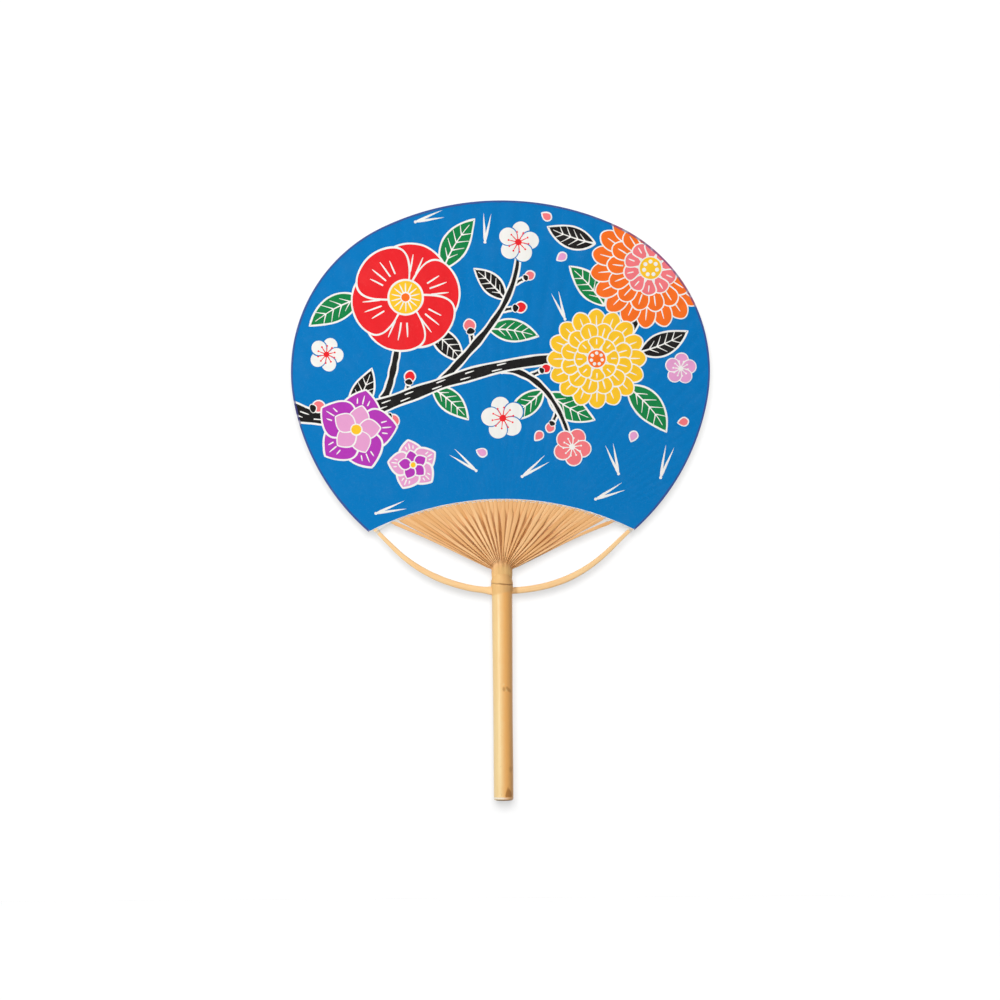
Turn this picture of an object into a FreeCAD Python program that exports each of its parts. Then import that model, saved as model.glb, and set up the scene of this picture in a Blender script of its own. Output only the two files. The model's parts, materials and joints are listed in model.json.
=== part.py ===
import FreeCAD, Part
import math
import os

# Round paper fan made from one split bamboo culm, in millimetres.
# The handle stands along +Z with the centre of its end at the origin, and the printed face looks along -Y.

# Handle culm: a straight grip, a slight taper, the node with its groove, and the neck that is split into ribs
grip_radius = 5.85
grip_length = 62.0
culm_radius = 6.2
node_height = 129.8
node_radius = 6.4
node_swell = 5.0
groove_width = 0.7
groove_depth = 0.25
neck_radius = 6.25
neck_length = 11.2
culm_wall = 2.6
septum_thickness = 3.0
end_round = 1.3

# Plug that closes the bore at the end of the handle
plug_length = 12.0
plug_recess = 0.3
plug_clearance = 0.05

# Leaf outline: a crown arc, then a shoulder arc and a flank arc down to the lower corner on each side
leaf_width = 251.4
leaf_height = 179.4
crown_radius = 166.0
shoulder_radius = 96.0
flank_radius = 138.0
flank_start = math.radians(100.6)

# Window: the open stretch of ribs under the concave lower edge of the paper
window_rise = 39.6
window_radius = 176.7

# Sheets and edge strip
paper_thickness = 0.25
binding_width = 1.3
binding_wall = 0.15

# Ribs: every second one comes from the front half of the split neck, the others from the back half
rib_count = 48
rib_thickness = 0.8
rib_end_gap = 0.6
bow_rib_gap = 6.67
fan_crowding_share = 0.15
ring_half_angle = math.radians(82.0)
root_width_share = 0.82
root_depth = 1.3
bend_height = 1.0
bend_run = 3.5
knee_thickness = 0.4
spread_run = 18.0
spread_width_share = 0.92
spread_thickness = 0.5
merge_share = 0.93

# Bow: bent through the handle on an arc, with straight ends that are tucked between the sheets by the corners
bow_drop = 3.5
bow_corner_gap = 2.06
bow_straight = 16.5
bow_tuck = 13.0
bow_lead = 5.0
bow_width = 3.7
bow_depth = 3.0
bow_tip_width = 2.1
bow_tip_clearance = 0.04
bow_chamfer_share = 0.3
bow_hole_clearance = 0.1
bow_arc_steps = 5
bow_end_steps = 3

# Lacing: two threads woven through the ribs just below the sheets, each wound round both ends of the bow
thread_diameter = 0.3
thread_clearance = 0.06
thread_drop = 0.4
thread_spacing = 0.45
winding_turns = 2
winding_pitch = 0.8
winding_start = 0.9
winding_spacing = 2.4
bend_limit_share = 0.48
gap_samples_per_diameter = 2

# Worked out from the sizes above
cut_overrun = culm_wall
bore_radius = grip_radius - culm_wall
neck_top = node_height + neck_length
window_top = neck_top + window_rise
leaf_top = window_top + leaf_height
leaf_thickness = rib_thickness + 2 * paper_thickness
bow_height = node_height - bow_drop
thread_radius = thread_diameter / 2
thread_room = thread_radius + thread_clearance
lacing_gap = 2 * thread_room
up = FreeCAD.Vector(0, 0, 1)
forward = FreeCAD.Vector(0, -1, 0)
window_centre = FreeCAD.Vector(0, 0, window_top - window_radius)


def heading(angle):
    """Unit vector in the leaf's plane, at an angle from straight up towards +X."""
    return FreeCAD.Vector(math.sin(angle), 0, math.cos(angle))


def angle_about(centre, point):
    return math.atan2(point.x - centre.x, point.z - centre.z)


def mirrored(point):
    return FreeCAD.Vector(-point.x, point.y, point.z)


def save(shape, name):
    shape.exportStep(os.path.join("parts", name + ".step"))


# Leaf outline

crown_half = math.asin((leaf_width / 2 - shoulder_radius) / (crown_radius - shoulder_radius))
crown_centre = FreeCAD.Vector(0, 0, leaf_top - crown_radius)
shoulder_centre = crown_centre + heading(crown_half) * (crown_radius - shoulder_radius)
flank_centre = shoulder_centre + heading(flank_start) * (shoulder_radius - flank_radius)
outline_arcs = [
    (crown_centre, crown_radius, 0.0, crown_half),
    (shoulder_centre, shoulder_radius, crown_half, flank_start),
    (flank_centre, flank_radius, flank_start, math.pi),
]


def corner_point(inset, lowering):
    """Where a flank arc, moved inwards, meets the window's arc, moved down, on the right-hand side."""
    flank = flank_radius - inset
    low_centre = window_centre - up * lowering
    between = low_centre - flank_centre
    along = (flank**2 - window_radius**2 + between.Length**2) / (2 * between.Length)
    aside = math.sqrt(flank**2 - along**2)
    toward = between / between.Length
    return flank_centre + toward * along + FreeCAD.Vector(-toward.z, 0, toward.x) * aside


def leaf_face(inset=0.0, lowering=0.0):
    """Flat face of the leaf in the plane y = 0, with its rim moved inwards and its window moved down."""
    corner = corner_point(inset, lowering)
    window_point = window_centre + up * (window_radius - lowering)
    crown_top = crown_centre + up * (crown_radius - inset)
    stations = []
    for centre, radius, start, end in outline_arcs[1:]:
        stop = min(end, angle_about(centre, corner))
        stations.append([centre + heading(a) * (radius - inset) for a in (start, (start + stop) / 2, stop)])
    shoulder, flank = stations
    flank[2] = corner
    crown_end = shoulder[0]
    arcs = [
        (mirrored(crown_end), crown_top, crown_end),
        tuple(shoulder),
        (shoulder[2], flank[1], corner),
        (corner, window_point, mirrored(corner)),
        (mirrored(corner), mirrored(flank[1]), mirrored(shoulder[2])),
        (mirrored(shoulder[2]), mirrored(shoulder[1]), mirrored(crown_end)),
    ]
    return Part.Face(Part.Wire([Part.Arc(*points).toShape() for points in arcs]))


def leaf_plate(thickness, inset=0.0, lowering=0.0):
    """The leaf's face as a plate with its mid-plane at y = 0."""
    face = leaf_face(inset, lowering)
    face.translate(forward * (thickness / 2))
    return face.extrude(forward * -thickness)


def reach_to_rim(start, angle, inset):
    """Distance from a point to the outline, moved inwards, along a heading."""
    side = math.copysign(1.0, angle)
    origin = FreeCAD.Vector(start.x * side, 0, start.z)
    ray = heading(abs(angle))
    for centre, radius, first, last in outline_arcs:
        offset = origin - centre
        middle = -offset.dot(ray)
        half_chord_squared = middle**2 - offset.dot(offset) + (radius - inset) ** 2
        if half_chord_squared < 0:
            continue
        reach = middle + math.sqrt(half_chord_squared)
        if first <= abs(angle_about(centre, origin + ray * reach)) <= last:
            return reach
    raise ValueError("a rib misses the outline")


def reach_to_window(start, angle, lowering):
    """Distance from a point under the window to the window's arc, moved down, along a heading."""
    offset = FreeCAD.Vector(start.x, 0, start.z + lowering) - window_centre
    middle = -offset.dot(heading(angle))
    return middle + math.sqrt(middle**2 - offset.dot(offset) + window_radius**2)


# Handle

def handle_culm():
    """Hollow culm with a septum at its node, cut through for the bow."""
    arc_middle = FreeCAD.Vector(grip_radius - end_round, 0, end_round) + heading(math.pi * 3 / 4) * end_round
    septum_bottom = node_height - groove_width
    septum_top = septum_bottom + septum_thickness
    outside = [
        (grip_radius, end_round),
        (grip_radius, grip_length),
        (culm_radius, node_height - node_swell),
        (node_radius, node_height - groove_width / 2),
        (node_radius - groove_depth, node_height),
        (node_radius, node_height + groove_width / 2),
        (neck_radius, node_height + node_swell),
        (neck_radius, neck_top),
    ]
    inside = [
        (bore_radius, neck_top),
        (bore_radius, septum_top),
        (0, septum_top),
        (0, septum_bottom),
        (bore_radius, septum_bottom),
        (bore_radius, 0),
        (grip_radius - end_round, 0),
    ]
    points = [FreeCAD.Vector(r, 0, z) for r, z in outside + inside]
    edges = [Part.LineSegment(a, b).toShape() for a, b in zip(points, points[1:])]
    edges.append(Part.Arc(points[-1], arc_middle, points[0]).toShape())
    culm = Part.Face(Part.Wire(edges)).revolve(FreeCAD.Vector(), up, 360)
    rise = bow_radius - math.sqrt(bow_radius**2 - node_radius**2)
    flat_half = bow_depth / 2 - bow_chamfer_share * bow_depth
    hole_radius = math.hypot(bow_width / 2, flat_half) + rise / 2 + bow_hole_clearance
    hole_start = FreeCAD.Vector(-node_radius - cut_overrun, 0, bow_height + rise / 2)
    hole = Part.makeCylinder(hole_radius, -2 * hole_start.x, hole_start, FreeCAD.Vector(1, 0, 0))
    return culm.cut(hole)


def handle_plug():
    return Part.makeCylinder(bore_radius - plug_clearance, plug_length, up * plug_recess, up)


# Bow

leaf_corner = corner_point(0.0, 0.0)
entry_turn = 2 * math.asin(bow_corner_gap / 2 / window_radius)
entry_angle = angle_about(window_centre, leaf_corner) - entry_turn
entry_point = window_centre + heading(entry_angle) * window_radius
entry_rise = entry_point.z - bow_height
bow_radius = (entry_point.x**2 + entry_rise**2 - bow_straight**2) / (2 * entry_rise)
bow_centre = up * (bow_height + bow_radius)
bow_sweep = math.pi - angle_about(bow_centre, entry_point) - math.atan(bow_straight / bow_radius)
bow_heading = math.pi / 2 - bow_sweep
bow_arc_end = bow_centre + heading(math.pi - bow_sweep) * bow_radius
bow_arc_length = bow_radius * bow_sweep
bow_entry = bow_arc_length + bow_straight
bow_tip_depth = rib_thickness - 2 * bow_tip_clearance


def bow_frame(run):
    """Point of the bow at a distance from the handle's axis, and its direction there, on the right."""
    if run < bow_arc_length:
        turn = run / bow_radius
        return bow_centre + heading(math.pi - turn) * bow_radius, heading(math.pi / 2 - turn)
    return bow_arc_end + heading(bow_heading) * (run - bow_arc_length), heading(bow_heading)


def bow_size(run):
    """Width and depth of the bow's section at a distance from the handle's axis."""
    width_share = min(1.0, run / bow_entry)
    depth_share = min(1.0, run / (bow_entry - bow_lead))
    width = bow_width + (bow_tip_width - bow_width) * width_share
    depth = bow_depth + (bow_tip_depth - bow_depth) * depth_share
    return width, depth


def bow_section(run, side):
    """Eight-sided section, square to the bow."""
    place, along = bow_frame(run)
    width, depth = bow_size(run)
    across = FreeCAD.Vector(-along.z, 0, along.x)
    cut = bow_chamfer_share * min(width, depth)
    quarter = [(width / 2, depth / 2 - cut), (width / 2 - cut, depth / 2)]
    ring = quarter + [(-a, b) for a, b in reversed(quarter)]
    ring += [(-a, -b) for a, b in ring]
    points = [place + across * a + forward * b for a, b in ring]
    if side < 0:
        points = [mirrored(point) for point in points]
    return Part.makePolygon(points + points[:1])


def bow_solid():
    runs = [bow_arc_length * step / bow_arc_steps for step in range(1, bow_arc_steps + 1)]
    runs.append(bow_entry - bow_lead)
    runs += [bow_entry + bow_tuck * step / bow_end_steps for step in range(bow_end_steps + 1)]
    left = [bow_section(run, -1) for run in reversed(runs)]
    right = [bow_section(run, 1) for run in [0.0] + runs]
    return Part.makeLoft(left + right, True, False)


# Ribs

root_radius = neck_radius - root_depth / 2
root_pitch = root_radius * 2 * ring_half_angle * 2 / (rib_count - 1)
root_width = root_width_share * root_pitch
last_bend = FreeCAD.Vector(root_radius * math.sin(ring_half_angle), 0, neck_top + bend_height)
bow_tip = bow_frame(bow_entry + bow_tuck)[0]
passing_angle = math.asin(bow_rib_gap / (bow_tip - last_bend).Length)
fan_half_angle = angle_about(last_bend, bow_tip) - passing_angle


class Rib:
    """One rib's place in the fan: its heading in the leaf, and its foot on the split end of the culm."""

    def __init__(self, index):
        spread = -1 + 2 * index / (rib_count - 1)
        crowded = (1 + fan_crowding_share) * spread - fan_crowding_share * spread**3
        ring_angle = ring_half_angle * spread
        self.index = index
        self.angle = fan_half_angle * crowded
        self.across = heading(self.angle + math.pi / 2)
        self.side = 1 if index % 2 == 0 else -1
        self.name = "%s_rib_%02d" % ("front" if self.side > 0 else "back", index // 2 + 1)
        self.outward = FreeCAD.Vector(math.sin(ring_angle), -self.side * math.cos(ring_angle), 0)
        self.tangent = FreeCAD.Vector(math.cos(ring_angle), self.side * math.sin(ring_angle), 0)
        self.foot = self.outward * root_radius + up * neck_top
        self.bend = self.foot + up * bend_height
        self.lace_run = reach_to_window(self.bend, self.angle, thread_drop)
        self.merge_run = merge_share * self.lace_run

    def flat(self, run):
        """Point of the centre line at a distance from the bend, laid into the leaf's mid-plane."""
        return FreeCAD.Vector(self.bend.x, 0, self.bend.z) + heading(self.angle) * run

    def centre(self, run):
        """The same point in its real depth: the front and back ribs close on the mid-plane."""
        depth_left = max(0.0, 1 - run / self.merge_run)
        return self.flat(run) + FreeCAD.Vector(0, self.bend.y * depth_left, 0)

    def room(self, ribs, run):
        """Distance across to the centre line of the nearer neighbour."""
        beside = [ribs[n] for n in (self.index - 1, self.index + 1) if 0 <= n < rib_count]
        return min(abs((other.flat(run) - self.flat(run)).dot(self.across)) for other in beside)


def rectangle(centre, across, through, width, thickness):
    half_across = across * (width / 2)
    half_through = through * (thickness / 2)
    corners = [
        centre - half_across - half_through,
        centre + half_across - half_through,
        centre + half_across + half_through,
        centre - half_across + half_through,
    ]
    return Part.makePolygon(corners + corners[:1])


def laced_width(rib, ribs):
    """Width at the lacing, which leaves a gap for the threads on both sides."""
    return rib.room(ribs, rib.lace_run) - lacing_gap


def tip_run(rib, width):
    """Distance from the bend at which the first of the rib's two edges comes up to the edge strip."""
    inset = binding_wall + rib_end_gap
    return min(reach_to_rim(rib.bend + rib.across * (edge * width / 2), rib.angle, inset) for edge in (-1, 1))


def rib_solid(rib, ribs):
    """Strip that stands on the split ring, bends to its heading and runs between the sheets to the rim."""
    through = forward * rib.side
    width_in_leaf = laced_width(rib, ribs)
    feet = [
        rectangle(place, rib.tangent, rib.outward, root_width, root_depth)
        for place in (rib.foot, rib.bend)
    ]
    strip = [
        (bend_run, root_width, knee_thickness),
        (spread_run, spread_width_share * rib.room(ribs, spread_run), spread_thickness),
        (rib.merge_run, rib.room(ribs, rib.merge_run) - lacing_gap, rib_thickness),
        (rib.lace_run, width_in_leaf, rib_thickness),
        (tip_run(rib, width_in_leaf), width_in_leaf, rib_thickness),
    ]
    sections = [
        rectangle(rib.centre(run), rib.across, through, width, thickness)
        for run, width, thickness in strip
    ]
    return Part.makeLoft(feet + sections, True, True)


# Lacing thread

def rounded_path(points, radii):
    """Straight runs between points, with a tangent arc at each inner point."""
    edges = []
    last = points[0]
    used = []
    for before, point, after, radius in zip(points, points[1:], points[2:], radii):
        arriving = (point - before).normalize()
        leaving = (after - point).normalize()
        half_turn = arriving.getAngle(leaving) / 2
        shorter = min((point - before).Length, (after - point).Length)
        tangent = min(radius * math.tan(half_turn), bend_limit_share * shorter)
        radius = tangent / math.tan(half_turn)
        inwards = (leaving - arriving).normalize()
        start = point - arriving * tangent
        end = point + leaving * tangent
        middle = point + inwards * (radius / math.cos(half_turn) - radius)
        edges.append(Part.LineSegment(last, start).toShape())
        edges.append(Part.Arc(start, middle, end).toShape())
        last = end
        used.append(radius)
    edges.append(Part.LineSegment(last, points[-1]).toShape())
    return Part.Wire(edges), used


def weave_points(ribs, strand):
    """Points of one thread, which passes each gap between ribs straight through the leaf."""
    drop = thread_drop + strand * thread_spacing
    crossings = [rib.flat(reach_to_window(rib.bend, rib.angle, drop)) for rib in ribs]
    widths = [laced_width(rib, ribs) for rib in ribs]
    height = rib_thickness / 2 + thread_room
    over = 1 if strand == 0 else -1
    first = crossings[0] + (crossings[0] - crossings[1]) / 2
    last = crossings[-1] + (crossings[-1] - crossings[-2]) / 2
    points = [first + forward * over * ribs[0].side * height]
    for rib, other in zip(ribs, ribs[1:]):
        here, there = crossings[rib.index], crossings[other.index]
        step = there - here
        lean = abs(step.dot(rib.across)) / step.Length
        gap = step.Length - (widths[rib.index] + widths[other.index]) / 2 / lean
        middle = here + step / step.Length * (widths[rib.index] / 2 / lean + gap / 2)
        points.append(middle + forward * over * rib.side * height)
        points.append(middle + forward * over * other.side * height)
    points.append(last + forward * over * ribs[-1].side * height)
    return points


def winding_points(side, strand, first_depth):
    """Corners of the turns round one end of the bow, from the paper's edge towards the handle."""
    points = []
    for quarter in range(4 * winding_turns + 1):
        run = bow_entry - winding_start - strand * winding_spacing - winding_pitch * quarter / 4
        place, along = bow_frame(run)
        width, depth = bow_size(run)
        across = FreeCAD.Vector(-along.z, 0, along.x)
        upper = 1 if quarter % 4 in (0, 3) else -1
        front = first_depth if quarter % 4 in (0, 1) else -first_depth
        outwards = across * upper * (width / 2 + thread_room)
        point = place + outwards + forward * front * (depth / 2 + thread_room)
        points.append(point if side > 0 else mirrored(point))
    return points


def least_gap(path):
    """Least clear distance between stretches of the thread that are not next to each other."""
    spacing = thread_diameter / gap_samples_per_diameter
    points = path.discretize(Distance=spacing)
    apart = int(2 * (rib_thickness + thread_diameter) / spacing) + 1
    nearest = min(
        (a - b).Length
        for number, a in enumerate(points)
        for b in points[number + apart:]
    )
    return nearest - thread_diameter


def lacing_thread(ribs, strand):
    """One thread, wound round both ends of the bow and woven through the ribs between them."""
    over = 1 if strand == 0 else -1
    left = winding_points(-1, strand, over * ribs[0].side)
    right = winding_points(1, strand, over * ribs[-1].side)
    points = list(reversed(left)) + weave_points(ribs, strand) + right
    path, used = rounded_path(points, [thread_room] * (len(points) - 2))
    ring = Part.Circle(points[0], points[1] - points[0], thread_radius).toShape()
    thread = path.makePipeShell([Part.Wire(ring)], True, False)
    length = path.Length
    expected = math.pi * thread_radius**2 * length
    print("thread length %.1f, volume %.2f, section times length %.2f" % (length, thread.Volume, expected))
    print("thread bends %.2f to %.2f, least gap to itself %.2f" % (min(used), max(used), least_gap(path)))
    return thread


# Sheets and edge strip

def paper(side):
    sheet = leaf_plate(paper_thickness, binding_wall)
    sheet.translate(forward * side * (rib_thickness + paper_thickness) / 2)
    return sheet


def edge_binding():
    """Strip folded over the rim of both sheets, from one lower corner to the other."""
    strip = leaf_plate(leaf_thickness + 2 * binding_wall)
    strip = strip.cut(leaf_plate(leaf_thickness + 2 * cut_overrun, binding_width, cut_overrun))
    return strip.cut(leaf_plate(leaf_thickness, binding_wall, cut_overrun))


os.makedirs("parts", exist_ok=True)
all_ribs = [Rib(index) for index in range(rib_count)]
save(handle_culm(), "handle_culm")
save(handle_plug(), "handle_plug")
save(bow_solid(), "bow")
save(lacing_thread(all_ribs, 0), "upper_lacing_thread")
save(lacing_thread(all_ribs, 1), "lower_lacing_thread")
save(paper(1), "front_paper")
save(paper(-1), "back_paper")
save(edge_binding(), "edge_binding")
for each_rib in all_ribs:
    save(rib_solid(each_rib, all_ribs), each_rib.name)
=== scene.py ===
"""Round paper fan on split bamboo ribs: the looks of every piece, in metres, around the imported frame."""
import json
import math

import bmesh
import bpy
import numpy as np
from bpy.props import FloatProperty, FloatVectorProperty, PointerProperty
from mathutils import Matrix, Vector, kdtree, noise
from mathutils.geometry import delaunay_2d_cdt


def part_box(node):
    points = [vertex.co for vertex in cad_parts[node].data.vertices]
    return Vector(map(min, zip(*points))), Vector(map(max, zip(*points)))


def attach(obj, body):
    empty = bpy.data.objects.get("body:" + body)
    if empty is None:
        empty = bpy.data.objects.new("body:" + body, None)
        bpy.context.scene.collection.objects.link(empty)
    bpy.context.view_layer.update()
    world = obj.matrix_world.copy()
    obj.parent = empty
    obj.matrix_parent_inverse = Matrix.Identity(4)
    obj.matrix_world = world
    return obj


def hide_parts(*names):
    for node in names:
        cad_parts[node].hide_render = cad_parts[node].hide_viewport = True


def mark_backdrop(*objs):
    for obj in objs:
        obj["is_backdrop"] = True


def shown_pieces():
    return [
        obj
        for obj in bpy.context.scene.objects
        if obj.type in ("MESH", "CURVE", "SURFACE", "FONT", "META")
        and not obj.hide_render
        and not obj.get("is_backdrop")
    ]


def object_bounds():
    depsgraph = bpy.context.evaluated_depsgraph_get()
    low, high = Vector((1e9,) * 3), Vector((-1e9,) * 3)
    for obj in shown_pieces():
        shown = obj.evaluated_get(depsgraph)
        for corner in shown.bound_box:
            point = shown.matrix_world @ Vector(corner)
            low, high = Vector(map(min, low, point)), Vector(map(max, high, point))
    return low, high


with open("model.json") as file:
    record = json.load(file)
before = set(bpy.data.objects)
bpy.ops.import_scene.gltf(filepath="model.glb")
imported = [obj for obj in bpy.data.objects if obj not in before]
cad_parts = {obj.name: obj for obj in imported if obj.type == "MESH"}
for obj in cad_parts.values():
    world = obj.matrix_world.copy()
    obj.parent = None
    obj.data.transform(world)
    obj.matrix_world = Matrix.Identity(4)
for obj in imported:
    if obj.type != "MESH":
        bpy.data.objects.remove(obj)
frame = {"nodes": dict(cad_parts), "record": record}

bl_info = {
    "name": "Round Paper Fan",
    "version": (1, 0, 0),
    "blender": (4, 5, 0),
    "location": "View3D > Sidebar > Fan",
    "description": "Dresses the packed frame of a round paper fan with its papers, bamboo and lacing",
    "category": "Object",
}

CAD_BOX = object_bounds()
MM = 0.001
BODY = "root"
NODE_TILT = 0.09  # rise of the node's line across the handle, as a slope
LACING_DROP = 0.4 * MM  # from the paper's lower edge to the upper thread


def dye(red, green, blue):
    """Linear colour of a dye that is given as it looks, in steps from 0 to 255."""
    looks = np.array((red, green, blue)) / 255
    return tuple(np.where(looks <= 0.04045, looks / 12.92, ((looks + 0.055) / 1.055) ** 2.4))


def blend(share, first, second):
    """Colours between two colours, or between one and a list of them."""
    return np.asarray(first) * (1 - share) + np.asarray(second) * share


def length(name, description, millimetres):
    return FloatProperty(name=name, description=description, default=millimetres * MM, precision=5,
                         unit="LENGTH")


def angle(name, description, degrees):
    return FloatProperty(name=name, description=description, default=math.radians(degrees), subtype="ANGLE")


def power(name, description, watts):
    return FloatProperty(name=name, description=description, default=watts, unit="POWER")


def fraction(name, description, default):
    return FloatProperty(name=name, description=description, default=default, subtype="FACTOR")


def colour(name, description, default):
    return FloatVectorProperty(name=name, description=description, default=default, subtype="COLOR", size=3,
                               min=0, max=1)


class FanSizes(bpy.types.PropertyGroup):
    """Sizes that the frame's boxes don't give."""
    crown_radius: length("Crown radius", "Radius of the leaf's upper edge", 166.0)
    shoulder_radius: length("Shoulder radius", "Radius of the leaf's widest stretch", 96.0)
    flank_radius: length("Flank radius", "Radius of the leaf's sides, down to the corners", 138.0)
    flank_turn: angle("Flank start", "Turn from straight up at which the flank begins", 100.6)
    window_top: length("Window top", "Height of the middle of the paper's lower edge", 180.6)
    window_radius: length("Window radius", "Radius of the paper's lower edge", 176.7)
    rib_sag: fraction("Paper sag", "Depth of the paper's dip as a share of the rib gap", 0.034)
    thread_diameter: length("Thread", "Diameter of the twisted lacing thread", 0.3)
    bow_width: length("Bow width", "Width of the bow inside the handle", 3.7)
    bow_tip_width: length("Bow tip width", "Width of the bow's ends between the sheets", 2.1)
    strip_width: length("Edge strip", "Width of the folded strip on each face of the leaf", 1.15)


class FanColours(bpy.types.PropertyGroup):
    """Dyes of the print and colours of the materials."""
    ground: colour("Ground", "Dye of the leaf's ground", dye(4, 120, 190))
    gold: colour("Gold", "Golden yellow dye", dye(252, 198, 44))
    pink: colour("Pink", "Pale pink dye", dye(231, 160, 206))
    violet: colour("Violet", "Purple dye", dye(181, 58, 181))
    salmon: colour("Salmon", "Warm pink dye", dye(244, 122, 128))
    red: colour("Red", "Red dye", dye(236, 40, 46))
    ink: colour("Ink", "Black dye", dye(30, 28, 28))
    green: colour("Green", "Leaf green dye", dye(23, 130, 70))
    orange: colour("Orange", "Orange dye", dye(250, 114, 37))
    paper: colour("Paper", "Undyed paper", dye(243, 241, 236))
    strip: colour("Edge strip", "Dye of the strip round the leaf", dye(56, 54, 124))
    # Culm and Culm, warm side are the skin's paler left and warmer right; the change across the handle is
    # painted sheen and painted shade.
    culm: colour("Culm", "Bamboo skin of the handle on its paler side", dye(243, 216, 156))
    culm_warm: colour("Culm, warm side", "Bamboo skin of the handle on its riper side", dye(244, 180, 98))
    shaved: colour("Shaved culm", "Neck of the handle, where the skin is scraped off", dye(237, 194, 126))
    split: colour("Split bamboo", "Shaved ribs", dye(245, 196, 139))
    split_shade: colour("Split shade", "Darker fibres of the ribs", dye(227, 167, 102))
    bow: colour("Bow", "Shaved bow", dye(248, 198, 138))
    bow_pale: colour("Bow ends", "Paler ends of the bow", dye(249, 211, 153))
    # Hollows is the brown of the bud scar and stains, and also of the painted shade on the ribs' flanks and
    # root grooves and at the bow's entry into the handle.
    hollow: colour("Hollows", "Brown of the ribs' split flanks", dye(160, 100, 28))
    # Scar also gives the painted shade on the handle's right flank and under the handle's end.
    scar_and_shade: colour("Scar", "Brown of the node, the bud scar and the stains", dye(122, 72, 32))
    thread: colour("Thread", "Undyed cotton lacing", dye(246, 248, 244))


class FanStage(bpy.types.PropertyGroup):
    """Camera, lamps and surroundings."""
    distance: length("Camera distance", "From the camera to the leaf", 2400.0)
    field: length("Field", "Width that the picture shows at the leaf", 600.0)
    roll: angle("Roll", "Turn of the camera about its view", 0.43)
    key: power("Key lamp", "Power of the large lamp above the camera", 41.0)
    side: power("Side lamp", "Power of the tall lamp on the left", 13.4)
    backdrop: power("Backdrop lamp", "Power of the lamp that lights the backdrop alone", 1060.0)
    back: power("Back lamp", "Power of the lamp behind the fan", 21.0)
    sky: fraction("Sky", "Strength of the even light from all around", 0.26)


def heading(turn):
    """Unit vector in the leaf's plane, across and up, at a turn from straight up towards the right."""
    return np.stack([np.sin(turn), np.cos(turn)], -1)


def upright(points, depth=0.0):
    """Points of the leaf's plane, across and up, as points in space at a depth behind the mid-plane."""
    points = np.asarray(points)
    return np.insert(points, 1, depth, axis=-1)


def ripple(places, scale, seed):
    """Smooth noise from -1 to 1 at places along a line."""
    return np.array([noise.noise(Vector((place * scale, seed, 0.37))) for place in places])


def hermite(t, start, end, leave, arrive):
    """Smooth curve from start to end as t goes from 0 to 1, with its slopes at both."""
    return ((2 * t**3 - 3 * t**2 + 1) * start + (3 * t**2 - 2 * t**3) * end
            + (t**3 - 2 * t**2 + t) * leave + (t**3 - t**2) * arrive)


def eased(rows, at, places):
    """Rows of numbers, given at stations, on a smooth curve through them at other places."""
    spot = np.clip(np.searchsorted(at, places, side="right") - 1, 0, len(at) - 2)
    span = (at[spot + 1] - at[spot])[:, None]
    slopes = np.gradient(rows, at, axis=0)
    t = (places - at[spot])[:, None] / span
    return hermite(t, rows[spot], rows[spot + 1], span * slopes[spot], span * slopes[spot + 1])


def run_lengths(line):
    """Distance along a line to each of its points."""
    return np.concatenate([[0], np.cumsum(np.linalg.norm(np.diff(line, axis=0), axis=1))])


def even_turns(count):
    """Turns that are spread evenly round a circle."""
    return np.arange(count) * 2 * math.pi / count


def split_fall(across_share):
    """How much lower the split end of the neck lies at its sides, where the ribs leave it flatter."""
    return 4.0 * MM * np.abs(across_share) ** 4


def unit(vectors):
    return vectors / np.linalg.norm(vectors, axis=-1, keepdims=True)


def soft_ring(count, squareness=0.5):
    """Ring of a rounded rectangle that is two wide and two deep."""
    turn = (np.arange(count) + 0.5) * 2 * math.pi / count
    flat = heading(turn)
    return np.sign(flat) * np.abs(flat) ** squareness


# Meshes

def loft(rings):
    """Points and faces of a closed skin through rings of points, with flat ends."""
    count, around = rings.shape[:2]
    spots = np.arange(count * around).reshape(count, around)
    first, second = spots[:-1], spots[1:]
    quads = np.stack([first, np.roll(first, -1, 1), np.roll(second, -1, 1), second], -1).reshape(-1, 4)
    return rings.reshape(-1, 3), quads.tolist() + [spots[0][::-1].tolist(), spots[-1].tolist()]


def piece(name, points, faces, finish, slot, nodes, crease=50):
    """Mesh piece that rides on the fan and stands for nodes of the frame."""
    mesh = bpy.data.meshes.new(name)
    mesh.from_pydata(np.asarray(points).tolist(), [], faces)
    shell = bmesh.new()
    shell.from_mesh(mesh)
    bmesh.ops.recalc_face_normals(shell, faces=shell.faces)
    shell.to_mesh(mesh)
    shell.free()
    mesh.shade_smooth()
    mesh.set_sharp_from_angle(angle=math.radians(crease))
    return placed(name, mesh, finish, nodes)


def placed(name, mesh, finish, nodes):
    """Object of a mesh, tied to the fan's body and the nodes that it stands for."""
    made = bpy.data.objects.new(name, mesh)
    bpy.context.collection.objects.link(made)
    mesh.materials.append(finish)
    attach(made, BODY)
    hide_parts(*nodes)
    return made


def store(mesh, name, values, kind="FLOAT_VECTOR", domain="POINT"):
    """Attribute of a mesh, from one row of numbers for each of its points or corners."""
    layer = mesh.attributes.new(name, kind, domain)
    layer.data.foreach_set("vector" if kind == "FLOAT_VECTOR" else "color", np.ravel(values))


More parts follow.
